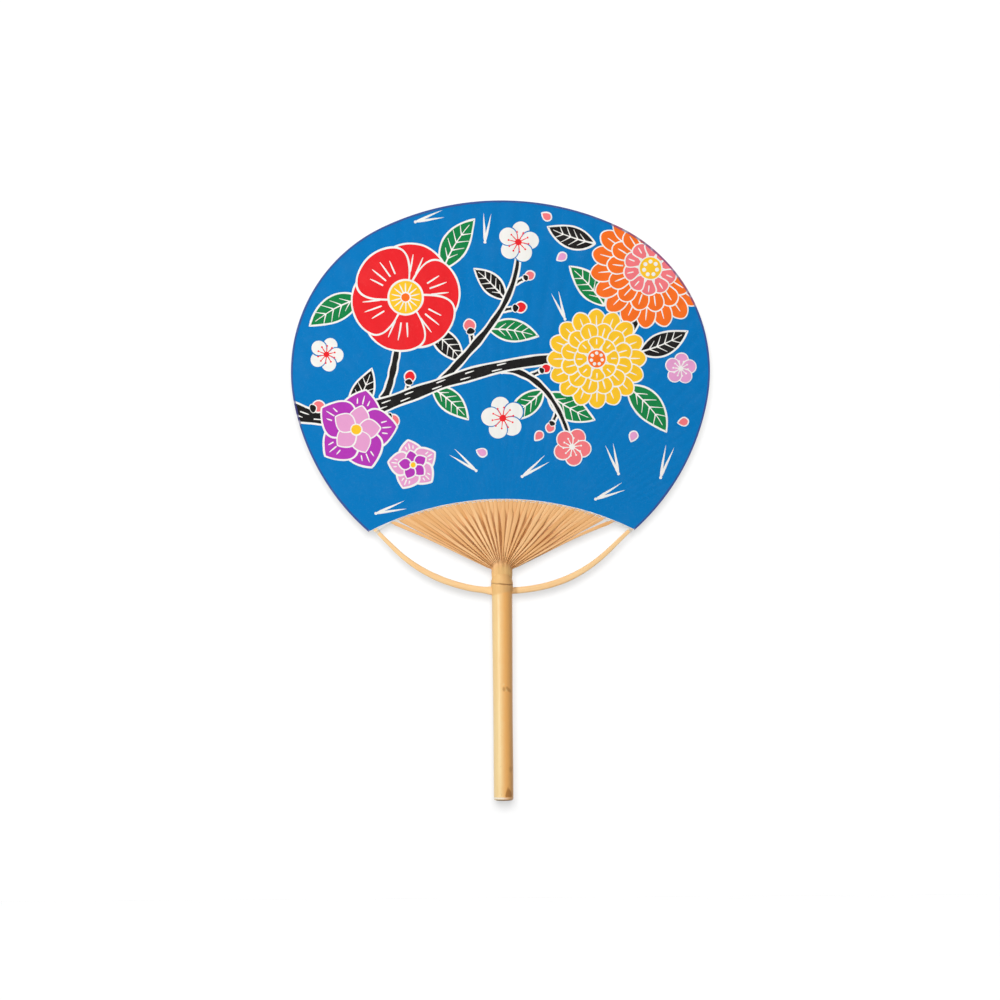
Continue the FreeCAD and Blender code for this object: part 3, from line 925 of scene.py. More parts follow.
    def needles(self, base, turn, length):
        """Pair of pine needles joined at the base."""
        for lean in (-0.13, 0.13):
            self.lay(rotated(petal(length, self.line * 1.25, 0.25, 0.8, 9), turn + lean, base), "paper")
        self.lay(disc(base, self.line * 0.8, 8), "paper")


def spray_design():
    """The leaf's print: a branch with twigs, leaves, buds and blossoms, among needles and petals."""
    spray = Spray()
    main = curve((-1.04, -0.19), (-0.66, -0.38), (-0.38, 0.03), (0.42, 0.04), 46)
    upper = curve((-0.29, -0.09), (-0.16, 0.08), (0.09, 0.26), (0.09, 0.56), 30)
    lower = curve((0.0, -0.01), (0.18, -0.03), (0.28, -0.17), (0.33, -0.36), 26)
    short = curve((-0.56, -0.16), (-0.5, -0.05), (-0.5, 0.1), (-0.46, 0.24), 18)
    outer = curve((0.42, 0.04), (0.6, 0.08), (0.68, 0.2), (0.7, 0.4), 18)

    def at(line, share):
        """Point and heading of a line at a share of its run."""
        spot = min(int(share * (len(line) - 1)), len(line) - 2)
        step = line[spot + 1] - line[spot]
        return line[spot], math.atan2(step[0], step[1])

    for line, share, lean, size, curl, tint in (
            (upper, 0.5, 0.9, 0.25, 1.4, "green"), (upper, 0.72, -1.1, 0.22, -1.2, "ink"),
            (main, 0.3, -0.75, 0.25, -1.3, "ink"), (lower, 0.55, -0.2, 0.27, -1.3, "green"),
            (lower, 0.5, 1.5, 0.24, 1.2, "green"), (main, 0.62, 0.9, 0.24, 1.4, "green")):
        base, turn = at(line, share)
        spray.leaf(base, turn + lean, size, curl, tint)
    for base, turn, size, curl, tint in (
            ((-0.27, 0.46), 0.35, 0.29, 1.5, "green"), ((-0.66, 0.33), -1.85, 0.29, -1.5, "green"),
            ((-0.34, 0.18), 2.2, 0.24, 1.4, "ink"), ((0.6, -0.1), 2.2, 0.3, 1.6, "green"),
            ((0.5, 0.28), -0.55, 0.26, -1.3, "green"), ((0.46, 0.58), -1.4, 0.25, 1.4, "ink"),
            ((0.66, 0.06), 1.35, 0.26, -1.4, "ink")):
        spray.leaf(base, turn, size, curl, tint)
    buds = []
    for line, share, lean, size, tint in (
            (upper, 0.36, -0.9, 0.075, "salmon"), (upper, 0.64, 0.9, 0.07, "red"),
            (upper, 0.82, 0.8, 0.06, "salmon"), (lower, 0.3, -1.0, 0.06, "red"),
            (lower, 0.72, 0.9, 0.06, "salmon"), (main, 0.4, 1.0, 0.075, "salmon"),
            (main, 0.07, -0.6, 0.075, "salmon"), (main, 0.52, -1.0, 0.07, "red")):
        base, turn = at(line, share)
        tip = base + heading(turn + lean) * 0.06
        spray.branch(base + np.outer(np.linspace(0, 1, 6), tip - base), 0.014, 0.01)
        buds.append((tip, turn + lean, size, tint))
    for line, start, end in ((upper, 0.034, 0.014), (lower, 0.028, 0.012), (short, 0.03, 0.022),
                             (outer, 0.034, 0.024), (main, 0.07, 0.036)):
        spray.branch(line, start, end)
    for share in np.arange(0.06, 0.8, 0.09):
        base, turn = at(main, share)
        side = heading(turn + math.pi / 2) * 0.011
        spray.mark(base + side, base + side + heading(turn) * 0.05)
        spray.mark(base - side + heading(turn) * 0.03, base - side + heading(turn) * 0.075)
    for bud in buds:
        spray.bud(*bud)
    spray.chrysanthemum((0.72, 0.46), 0.29, ("orange", "orange", "salmon", "gold"), 18, 0.1)
    spray.chrysanthemum((0.46, 0.03), 0.24, ("gold", "gold", "gold", "orange"), 16, 0.0)
    spray.camellia((-0.45, 0.33), 0.265, "red", 0.3)
    spray.bellflower((-0.69, -0.3), 0.2, ("violet", "pink"), 0.25)
    spray.bellflower((-0.42, -0.47), 0.125, ("pink", "violet"), -0.2)
    for centre, radius, dyes, edge, turn in (
            ((0.09, 0.59), 0.1, ("paper", "red"), "ground", 0.2),
            ((0.01, -0.25), 0.105, ("paper", "red"), "ground", -0.2),
            ((-0.83, 0.06), 0.085, ("paper", "red"), "ground", 0.4),
            ((0.34, -0.39), 0.09, ("salmon", "paper"), "paper", 0.5),
            ((0.86, -0.02), 0.075, ("pink", "paper"), "paper", 0.1)):
        spray.plum(centre, radius, dyes, edge, turn)
    for base, turn, size in (
            ((0.76, -0.54), 0.3, 0.16), ((0.56, -0.52), -0.3, 0.15), ((0.45, -0.64), 1.15, 0.15),
            ((-0.12, -0.5), -0.9, 0.15), ((0.1, -0.53), 0.95, 0.15), ((-0.6, -0.7), 1.3, 0.15),
            ((-0.07, 0.59), 0.1, 0.14), ((0.31, 0.22), -0.35, 0.14), ((-0.4, 0.69), 1.3, 0.14)):
        spray.needles(base, turn, size)
    for centre, turn, tint in (
            ((0.27, 0.5), 1.0, "pink"), ((-0.12, -0.4), 2.0, "pink"), ((0.62, -0.37), 0.4, "pink"),
            ((0.2, 0.73), 2.2, "salmon"), ((0.84, -0.28), 1.4, "salmon"), ((0.16, -0.36), 0.7, "salmon")):
        spray.edged(rotated(petal(0.06, 0.048, 0.6, 0.55, 9), turn, centre), tint, spray.thin)
    return spray.areas


def hand_drawn(outline, seed):
    """A closed outline on a finer, rounded line with the wobble of a hand-cut stencil."""
    spacing, wobble = 0.009, 0.0016
    after = np.roll(outline, -1, 0)
    leave = (after - np.roll(outline, 1, 0)) / 2
    points = []
    for stretch in zip(outline, after, leave, np.roll(leave, -1, 0)):
        steps = max(1, round(np.linalg.norm(stretch[1] - stretch[0]) / spacing))
        points.append(hermite(np.arange(steps)[:, None] / steps, *stretch))
    points = np.concatenate(points)
    shift = [[noise.noise(Vector((x * 15, y * 15, seed + step))) for step in (0, 40.6)] for x, y in points]
    return np.round(points + np.array(shift) * wobble, 6)


def printed_areas(leaf):
    """The print's areas in the leaf's plane, with a narrow undyed margin along the lower edge."""
    areas = [(hand_drawn(outline, 3.1 if tint == "paper" else 8.7) * leaf.half_width + leaf.middle, tint)
             for outline, tint in spray_design()]
    turns = np.linspace(-0.5, 0.5, 160)
    margin = 0.3 * MM * (1 + 0.35 * ripple(turns, 60, 4.2))
    upper = leaf.window + heading(turns) * (leaf.window_radius + margin)[:, None]
    lower = leaf.window + heading(turns[::-1]) * (leaf.window_radius - MM)
    return areas + [(np.concatenate([upper, lower]), "paper")]


# Pieces

def cut_sheet(leaf, outline, areas, tints):
    """Flat triangles of a sheet, cut along the outlines of its dyed areas, with the dye of each."""
    loops = [outline] + [points for points, _ in areas]
    spots = np.concatenate(loops + [leaf.relief_spots()])
    edges, start = [], 0
    for loop in loops:
        ends = np.arange(start, start + len(loop))
        edges += np.column_stack([ends, np.roll(ends, -1)]).tolist()
        start += len(loop)
    scaled = [Vector(spot) for spot in spots / leaf.half_width]
    cut = delaunay_2d_cdt(scaled, edges, [], 0, 1e-5, False)
    flat = np.array(cut[0]) * leaf.half_width
    faces = np.array(cut[2])
    middles = flat[faces].mean(1)
    kept = inside(middles, outline)
    faces, middles = faces[kept], middles[kept]
    shown = np.tile(tints["ground" if areas else "paper"], (len(faces), 1))
    for points, tint in areas:
        low, high = points.min(0), points.max(0)
        near = np.flatnonzero(np.all((middles > low) & (middles < high), axis=1))
        if len(near):
            shown[near[inside(middles[near], points)]] = tints[tint]
    used, faces = np.unique(faces, return_inverse=True)
    return flat[used], faces.reshape(-1, 3), shown


def sheet_mesh(name, leaf, side, areas, tints):
    """Thin closed sheet that dips between the ribs, dyed on its outer face."""
    outline = leaf.outline(leaf.paper_inset)
    flat, faces, shown = cut_sheet(leaf, outline, areas, tints)
    edge = kdtree.KDTree(len(outline))
    for number, spot in enumerate(outline):
        edge.insert((*spot, 0), number)
    edge.balance()
    dip = leaf.dips(flat, edge)
    nudge = 0.05 * MM
    slope_x, slope_z = ((leaf.dips(flat + step, edge) - dip) / nudge for step in ((nudge, 0), (0, nudge)))
    normal = unit(np.column_stack([slope_x, -np.ones(len(flat)), slope_z]))
    skin = upright(flat)
    skin[:, 1] = dip - leaf.outer_depth
    lining = skin + (0, leaf.outer_depth - leaf.inner_depth, 0)

    count = len(flat)
    ways = np.concatenate([faces[:, [0, 1]], faces[:, [1, 2]], faces[:, [2, 0]]])
    codes = ways[:, 0] * count + ways[:, 1]
    start, end = ways[~np.isin(codes, ways[:, 1] * count + ways[:, 0])].T
    walls = np.column_stack([end, start, start + count, end + count])
    outwards = unit(np.cross(skin[end] - skin[start], (0, -1, 0)))
    inner = faces[:, ::-1]
    groups = [(faces, normal[faces]), (inner + count, -normal[inner]),
              (walls, np.repeat(outwards[:, None], 4, axis=1))]
    if side < 0:
        groups = [(facets[:, ::-1], normals[:, ::-1] * (1, -1, 1)) for facets, normals in groups]
    points = np.concatenate([skin, lining]) * (1, side, 1)
    mesh = bpy.data.meshes.new(name)
    mesh.from_pydata(points.tolist(), [], [facet for facets, _ in groups for facet in facets.tolist()])
    mesh.shade_smooth()
    mesh.normals_split_custom_set(np.concatenate([normals.reshape(-1, 3) for _, normals in groups]))
    bare = np.tile(tints["paper"], (inner.size + walls.size, 1))
    corners = np.concatenate([np.repeat(shown, 3, axis=0), bare])
    store(mesh, "dye", np.insert(corners, 3, 1.0, axis=1), "FLOAT_COLOR", "CORNER")
    return mesh


class FAN_OT_handle(bpy.types.Operator):
    """Turn the culm with its node, cut it for the bow and close its end with the plug"""
    bl_idname = "fan.handle"
    bl_label = "Handle"

    around = 72
    crease = 38
    bore = 3.25 * MM
    rounding = 1.3 * MM
    node_drop = 11.2 * MM
    # Swelling past the grip's radius and height past the node, in millimetres
    collar = ((0.31, -6.2), (0.42, -4.8), (0.58, -3.0), (0.72, -1.5), (0.78, -0.7), (0.7, -0.3),
              (0.52, -0.08), (0.52, 0.08), (0.7, 0.3), (0.76, 0.7), (0.62, 1.5), (0.34, 2.7), (0.1, 4.0),
              (0.0, 5.2), (0.06, 6.8), (0.2, 8.6), (0.26, 9.6), (0.16, 10.5))
    hole_radius = 2.15 * MM
    hole_rise = 0.1 * MM
    hole_oval = 0.8
    plug_around = 48
    plug_chamfer = 0.35 * MM

    def execute(self, context):
        colours = context.scene.fan_colours
        grip = frame["record"]["mounts"][0]["dims"]["r_mm"] * MM
        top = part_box("handle_culm")[1].z
        node = top - self.node_drop
        rings = self.turned(self.profile(grip, node, top), node)
        finish = culm_finish(colours, node)
        made = piece("bamboo_culm", *loft(rings), finish, "bamboo_culm", ["handle_culm"], self.crease)
        self.cut_hole(made, BowRoute.height(context.scene.fan_sizes) + self.hole_rise)
        self.plug(colours)
        return {"FINISHED"}

    def profile(self, grip, node, top):
        """Radius and height from the septum down the bore, round the end and up the outside to the neck."""
        inner = [(self.bore, node - 0.7 * MM), (self.bore, 0.0)]
        end = heading(np.linspace(math.pi, math.pi / 2, 7)) * self.rounding
        end = end + (grip - self.rounding, self.rounding)
        heights = np.array((0.0, 20, 45, 62, 85, 105, 118, 123)) * MM
        radii = np.array((0.0, 0.02, -0.03, 0.0, 0.12, 0.22, 0.27, 0.3)) * MM + grip
        stations = np.arange(2.5, 123, 2.0) * MM
        stem = np.column_stack([eased(radii[:, None], heights, stations)[:, 0], stations])
        neck = np.array(self.collar) * MM + (grip, node)
        cup = [(grip - 0.1 * MM, top), (self.bore, top), (self.bore, node + 2.3 * MM)]
        return np.concatenate([inner, end, stem, neck, cup])

    def turned(self, profile, node):
        """Rings of the profile, a little out of round as a grown culm is, with a tilted node."""
        turns = even_turns(self.around)
        top = profile[:, 1].max()
        rings = []
        for radius, height in profile:
            fall = split_fall(np.cos(turns)) * np.clip(1 - (top - height) / (6 * MM), 0, 1)
            reach = radius
            if radius > self.bore:
                oval = 0.006 * np.cos(2 * turns + height * 9) + 0.004 * np.cos(3 * turns + height * 21)
                reach = radius * (1 + oval)
                near = math.exp(-((height - node) / (2.5 * MM)) ** 2)
                fall = fall + NODE_TILT * radius * np.cos(turns) * near
            rings.append(np.column_stack([reach * np.cos(turns), reach * np.sin(turns), height - fall]))
        return np.array(rings)

    def cut_hole(self, culm, height):
        """Cut the oval hole that the bow passes through."""
        cutter_mesh = bpy.data.meshes.new("drill")
        drill = bmesh.new()
        bmesh.ops.create_cone(drill, cap_ends=True, segments=48, depth=30 * MM,
                              radius1=self.hole_radius, radius2=self.hole_radius)
        drill.to_mesh(cutter_mesh)
        drill.free()
        cutter = bpy.data.objects.new("drill", cutter_mesh)
        cutter.rotation_euler = (0, math.pi / 2, 0)
        cutter.scale = (1, self.hole_oval, 1)
        cutter.location = (0, 0, height)
        bpy.context.collection.objects.link(cutter)
        cutting = culm.modifiers.new("bow hole", "BOOLEAN")
        cutting.object = cutter
        cutting.solver = "EXACT"
        bpy.context.view_layer.update()
        solid = culm.evaluated_get(bpy.context.evaluated_depsgraph_get())
        mesh = bpy.data.meshes.new_from_object(solid)
        culm.modifiers.remove(cutting)
        culm.data = mesh
        mesh.set_sharp_from_angle(angle=math.radians(self.crease))
        bpy.data.objects.remove(cutter)
        bpy.data.meshes.remove(cutter_mesh)

    def plug(self, colours):
        """Turned plug with a sawn, slightly domed face."""
        low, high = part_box("handle_plug")
        radius, chamfer = high.x, self.plug_chamfer
        sawn = ((0.18, 0.05), (0.4, 0.02), (0.62, 0.06), (0.8, 0.02))
        stations = [(radius * share, low.z + rise * MM) for share, rise in sawn]
        stations += [(radius - chamfer, low.z + 0.05 * MM), (radius - 0.1 * MM, low.z + 0.15 * MM),
                     (radius, low.z + chamfer), (radius, high.z - chamfer), (radius - chamfer, high.z)]
        turns = even_turns(self.plug_around)
        rings = []
        for number, (reach, height) in enumerate(stations):
            spots = np.column_stack([np.cos(turns), np.sin(turns)]) * reach
            rough = 0.05 * MM if reach < 0.85 * radius else 0.0
            lift = [height + rough * noise.noise((x * 900, y * 900, number)) for x, y in spots]
            rings.append(np.column_stack([spots, lift]))
        piece("end_plug", *loft(np.array(rings)), plug_finish(colours), "plug_wood", ["handle_plug"])


class FAN_OT_ribs(bpy.types.Operator):
    """Shave the ribs that rise from the split neck and close on the leaf's mid-plane"""
    bl_idname = "fan.ribs"
    bl_label = "Ribs"

    around = 12
    root_width = 0.82 * MM
    root_depth = 1.3 * MM
    root_length = 5.0 * MM
    root_inset = 0.3 * MM
    proud = 0.1 * MM
    merge_share = 0.93  # of the way to the lacing, where the ribs have closed on the mid-plane
    spread = 0.45  # how much wider than its place a loose rib is
    vary = {1: 0.4, -1: 0.1}  # how much that differs from rib to rib, in the front half and the back
    wander = {1: 0.8 * MM, -1: 0.4 * MM}

    def execute(self, context):
        leaf = Leaf(context.scene.fan_sizes)
        colours = context.scene.fan_colours
        finish = split_finish("shaved_rib", colours.split, colours.split_shade, colours)
        for number in range(len(leaf.ribs)):
            self.shave(leaf, number, finish)
        return {"FINISHED"}

    def sections(self, leaf, rib):
        """Stations along a rib from its root to the rim, and the rib's section at each of them.

        A section's numbers are its centre, its directions sideways and through, and its thickness.
        """
        merge = self.merge_share * rib.lace
        thickness = leaf.inner_depth * 2
        root = rib.low_foot - rib.outward * self.root_inset - (0, 0, self.root_length)
        bend = upright(rib.start, rib.bend[1])
        raised = rib.outward * self.proud
        tangent = np.array((-rib.outward[1], rib.outward[0], 0)) * rib.side
        rows = [(-rib.bend_height - self.root_length, *root, *tangent, *rib.outward, self.root_depth),
                (-rib.bend_height, *(rib.low_foot + raised), *tangent, *rib.outward, self.root_depth),
                (0, *(bend + raised), *tangent, *rib.outward, self.root_depth * 0.9)]
        end = rib.reach - rib.laced + rib.lace
        for run, depth in ((4 * MM, 0.75 * MM), (18 * MM, 0.55 * MM), (merge, thickness),
                           (rib.lace, thickness), (rib.lace + 6 * MM, thickness), (end, thickness)):
            centre = upright(rib.course(run), rib.bend[1] * max(0, 1 - run / merge))
            across = upright(heading((rib.angle if run > rib.lace else rib.course_angle) + math.pi / 2))
            rows.append((run, *centre, *across, 0, -rib.side, 0, depth))
        rows = np.array(rows)
        return rows[:, 0], rows[:, 1:]

    def shave(self, leaf, number, finish):
        """One rib: upright on the split neck, bent to its course, and flat between the sheets."""
        rib = leaf.ribs[number]
        lace = rib.lace
        stations, rows = self.sections(leaf, rib)
        runs = np.concatenate([
            np.linspace(stations[0], 6 * MM, 18), np.arange(7 * MM, lace - 2 * MM, 0.9 * MM),
            np.linspace(lace - 1.6 * MM, lace + 2 * MM, 10), np.linspace(lace + 3 * MM, stations[-1], 5)])
        smooth = eased(rows, stations, runs)
        centre, side, deep = smooth[:, :3], unit(smooth[:, 3:6]), unit(smooth[:, 6:9])
        apart = 2 * abs(rib.bend[1]) * np.clip(1 - runs / (self.merge_share * lace), 0, 1)
        loose = np.clip((apart - 0.9 * MM) / (1.2 * MM), 0, 1) * np.clip(runs / (5 * MM), 0, 1)
        wander = ripple(runs, 38, number * 3.7) * self.wander[rib.side]
        wander = wander * loose * np.clip(runs / (14 * MM) - 0.4, 0, 1)
        centre = centre + side * (wander + rib.splay(runs))[:, None]
        halves = self.halves(leaf, number, runs, loose)
        ring = soft_ring(self.around)
        across = np.where(ring[:, 0] > 0, halves[1][:, None], halves[0][:, None]) * ring[:, 0]
        along = smooth[:, 9:] / 2 * ring[:, 1]
        rings = centre[:, None] + side[:, None] * across[..., None] + deep[:, None] * along[..., None]
        made = piece("shaved_" + rib.name, *loft(rings), finish, "split_bamboo", [rib.name])
        grain = np.stack([across, along, np.repeat(runs[:, None], self.around, 1)], -1)
        store(made.data, "grain", grain + np.array((number * 0.011, 0, number * 1.7)))
        form = np.empty_like(grain)
        # The flank number places the painted shade between the ribs.
        form[..., 0] = np.abs(ring[:, 0])
        form[..., 1] = (runs / lace)[:, None]
        form[..., 2] = noise.noise(Vector((number * 2.3, 0.5, 0)))
        store(made.data, "form", form)

    def halves(self, leaf, number, runs, loose):
        """Width to the left and right of a rib's line.

        Ribs touch on their way up, overlap in front of each other near the neck, and part at the lacing.
        """
        rib = leaf.ribs[number]
        spots = np.array([rib.course(run) for run in runs])
        uneven = ripple(runs, 55, number * 5.3 + 2) + noise.noise(Vector((number * 1.9, 3.3, 0)))
        free = (1.03 + self.spread * loose) * (1 + self.vary[rib.side] * uneven * loose)
        root = np.clip(runs / (3 * MM), 0, 1)
        parted = np.clip((runs - rib.lace + 1.1 * MM) / (0.4 * MM), 0, 1)
        both = []
        for step in (-1, 1):
            beside = number + step if 0 <= number + step < len(leaf.ribs) else number - step
            other = leaf.ribs[beside]
            away = (spots - other.start) @ heading(other.course_angle + math.pi / 2)
            close = np.abs(away) / 2 * free
            close = self.root_width / 2 * (1 - root) + close * root
            both.append(close * (1 - parted) + rib.width / 2 * parted)
        return both


class BowRoute:
    """Line of the bow: an arc through the handle and a straight end on each side."""
    corner_gap = 2.06 * MM
    straight = 16.5 * MM
    tuck = 13.0 * MM
    lead = 5.0 * MM
    depth = 3.0 * MM
    tip_depth = 0.72 * MM
    left_drift = 2.6 * MM
    right_sag = 1.2 * MM
    dip = 0.6 * MM
    full_share = 0.45

    @classmethod
    def height(cls, sizes):
        """Height of the line where it passes the handle."""
        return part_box("bow")[0].z + sizes.bow_width / 2 - cls.dip

    def __init__(self, leaf, sizes):
        self.width, self.tip_width = sizes.bow_width, sizes.bow_tip_width
        height = self.height(sizes)
        turn = math.atan2(*(leaf.corner(0) - leaf.window))
        turn -= 2 * math.asin(self.corner_gap / 2 / leaf.window_radius)
        entry = leaf.window + heading(turn) * leaf.window_radius
        rise = entry[1] - height
        self.radius = (entry[0] ** 2 + rise**2 - self.straight**2) / (2 * rise)
        self.centre = np.array((0, height + self.radius))
        self.sweep = math.pi - math.atan2(*(entry - self.centre)) - math.atan(self.straight / self.radius)
        self.arc_length = self.radius * self.sweep
        self.entry = self.arc_length + self.straight
        self.end = self.entry + self.tuck

    def at(self, run):
        """Point in the leaf's plane at a distance from the handle's axis, and the heading there."""
        side = math.copysign(1, run)
        turn = min(abs(run) / self.radius, self.sweep)
        spot = self.centre + heading(math.pi - turn) * self.radius
        way = heading(math.pi / 2 - turn)
        spot = spot + way * max(0, abs(run) - self.arc_length)
        share = min(1, abs(run) / self.entry)
        drift = (self.left_drift * share**3, 0)
        sag = (0, -self.right_sag * math.sin(math.pi * share) ** 2)
        return spot * (side, 1) + (drift if side < 0 else sag), way * (1, side)

    def size(self, run):
        """Width and depth of the section."""
        wide = min(1, max(0, abs(run) / self.entry - self.full_share) / (1 - self.full_share))
        deep = min(1, abs(run) / (self.entry - self.lead))
        return (self.width + (self.tip_width - self.width) * wide,
                self.depth + (self.tip_depth - self.depth) * deep)


class FAN_OT_bow(bpy.types.Operator):
    """Bend the bow through the handle, with its ends between the sheets"""
    bl_idname = "fan.bow"
    bl_label = "Bow"

    around = 20
    stations = 171
    squareness = 0.62
    flare = 0.35
    flare_run = 6.2 * MM
    flare_reach = 2.6 * MM
    # Painted shade where the bow enters the handle on the right: its strength, place and reach.
    entry_shade = 0.25
    entry_shade_run = 8.0 * MM
    entry_shade_reach = 1.5 * MM
    flank, share = 0.62, 0.42  # place on a rib that has the bow's tone

    def execute(self, context):
        sizes = context.scene.fan_sizes
        route = BowRoute(Leaf(sizes), sizes)
        runs = np.linspace(-route.end, route.end, self.stations)
        uneven = 1.06 + 0.025 * ripple(runs, 55, 1.3) + 0.012 * ripple(runs, 190, 6.1)
        ring = soft_ring(self.around, self.squareness)
        rings, grain, form = [], [], []
        for run, swell in zip(runs, uneven):
            spot, way = route.at(run)
            width, depth = route.size(run)
            width *= 1 + self.flare * math.exp(-((run + self.flare_run) / self.flare_reach) ** 2)
            covered = abs(run) > route.entry - route.lead
            section = ring * (width / 2 * swell, depth / 2 * (1 if covered else swell))
            across = upright(np.array((-way[1], way[0])))
            around = np.outer(section[:, 0], across) + np.outer(section[:, 1], (0, -1, 0))
            rings.append(upright(spot) + around)
            grain.append(np.column_stack([section, np.full(self.around, run)]))
            # Painted shade at the bow's entry into the handle, carried in the flank number.
            dark = self.entry_shade * math.exp(-((run - self.entry_shade_run) / self.entry_shade_reach) ** 2)
            form.append(np.tile((self.flank + dark, self.share, 0.0), (self.around, 1)))
        colours = context.scene.fan_colours
        finish = split_finish("bent_bow", colours.bow, colours.bow_pale, colours)
        made = piece("bent_bow", *loft(np.array(rings)), finish, "split_bamboo", ["bow"])
        store(made.data, "grain", grain)
        store(made.data, "form", form)
        return {"FINISHED"}


class FAN_OT_lacing(bpy.types.Operator):
    """Weave the two threads through the ribs and wind them round the bow's ends"""
    bl_idname = "fan.lacing"
    bl_label = "Lacing"

    spacing = 0.45 * MM
    clearance = 0.06 * MM
    turns = 2
    winding_pitch = 0.42 * MM
    winding_start = 0.35 * MM
    winding_spacing = 0.95 * MM
    lay = 0.95 * MM
    step = 0.1 * MM
    around = 10

    def execute(self, context):
        sizes = context.scene.fan_sizes
        leaf = Leaf(sizes)
        bow = BowRoute(leaf, sizes)
        finish = thread_finish(context.scene.fan_colours)
        room = sizes.thread_diameter / 2 + self.clearance
        for strand, name in enumerate(("upper_lacing_thread", "lower_lacing_thread")):
            over = 1 if strand == 0 else -1
            weave = self.weave(leaf, strand, over, room)
            left = self.winding(bow, -1, strand, over * leaf.ribs[0].side, room)
            right = self.winding(bow, 1, strand, over * leaf.ribs[-1].side, room)
            line = spline(left[::-1] + weave + right, 10)
            self.twist("twisted_" + name, line, sizes.thread_diameter / 2, finish, name)
        return {"FINISHED"}

    def weave(self, leaf, strand, over, room):
        """Control points of a thread that passes straight through the leaf between each two ribs."""
        drop = LACING_DROP + strand * self.spacing
        height = leaf.inner_depth + room
        ribs = leaf.ribs
        places = [rib.laced_at(leaf, drop) for rib in ribs]
        first = places[0] * 1.5 - places[1] * 0.5
        last = places[-1] * 1.5 - places[-2] * 0.5
        points = [upright(first, -over * ribs[0].side * height)]
        for rib, other, here, there in zip(ribs, ribs[1:], places, places[1:]):
            middle = (here + there) / 2
            points.append(upright(middle, -over * rib.side * height))
            points.append(upright(middle, -over * other.side * height))
        points.append(upright(last, -over * ribs[-1].side * height))
        return points

    def winding(self, bow, side, strand, first, room):
        """Control points of the turns round one end of the bow, from the paper's edge downwards."""
        points = []
        for quarter in range(4 * self.turns + 1):
            run = bow.entry - self.winding_start - strand * self.winding_spacing
            spot, way = bow.at(side * (run - self.winding_pitch * quarter / 4))
            width, depth = bow.size(run)
            upper = 1 if quarter % 4 in (0, 3) else -1
            front = first if quarter % 4 in (0, 1) else -first
            across = np.array((-way[1], way[0])) * (upper * (width / 2 + room))
            points.append(upright(spot + across, -front * (depth / 2 + room)))
        return points

    def twist(self, name, line, radius, finish, node):
        """Two plies twisted about the thread's line."""
        runs = run_lengths(line)
        count = round(runs[-1] / self.step)
        even = np.linspace(0, runs[-1], count)
        line = np.column_stack([np.interp(even, runs, axis) for axis in line.T])
        first, second = carried_frames(line)
        turn = even_turns(self.around)
        twist = turn + 2 * math.pi * even[:, None] / self.lay
        ply = np.abs(np.cos(turn))
        reach = radius * (0.74 + 0.28 * ply)
        rings = (line[:, None] + first[:, None] * (np.cos(twist) * reach)[..., None]
                 + second[:, None] * (np.sin(twist) * reach)[..., None])
        made = piece(name, *loft(rings), finish, "lacing_thread", [node])
        # Painted shade: 1 in the hollows between the plies, stored in the grain attribute.
        hollow = np.tile(1 - ply, count)
        store(made.data, "grain", np.repeat(hollow[:, None], 3, 1))


class FAN_OT_sheets(bpy.types.Operator):
    """Stretch the printed sheet and the plain back sheet over the ribs"""
    bl_idname = "fan.sheets"
    bl_label = "Sheets"

    def execute(self, context):
        leaf = Leaf(context.scene.fan_sizes)
        colours = context.scene.fan_colours
        names = ("ground", "gold", "pink", "violet", "salmon", "red", "ink", "green", "orange", "paper")
        tints = {name: np.array(getattr(colours, name)) for name in names}
        outline = leaf.outline(leaf.paper_inset)
        sheets = (("printed_sheet", 1, printed_areas(leaf), print_finish(colours), "front_paper"),
                  ("plain_sheet", -1, [], plain_paper_finish(colours), "back_paper"))
        for name, side, areas, finish, node in sheets:
            mesh = sheet_mesh(name, leaf, side, areas, tints)
            made = placed(name, mesh, finish, [node])
            ribs = ["shaved_" + rib.name for rib in leaf.ribs if rib.side == side]
        return {"FINISHED"}


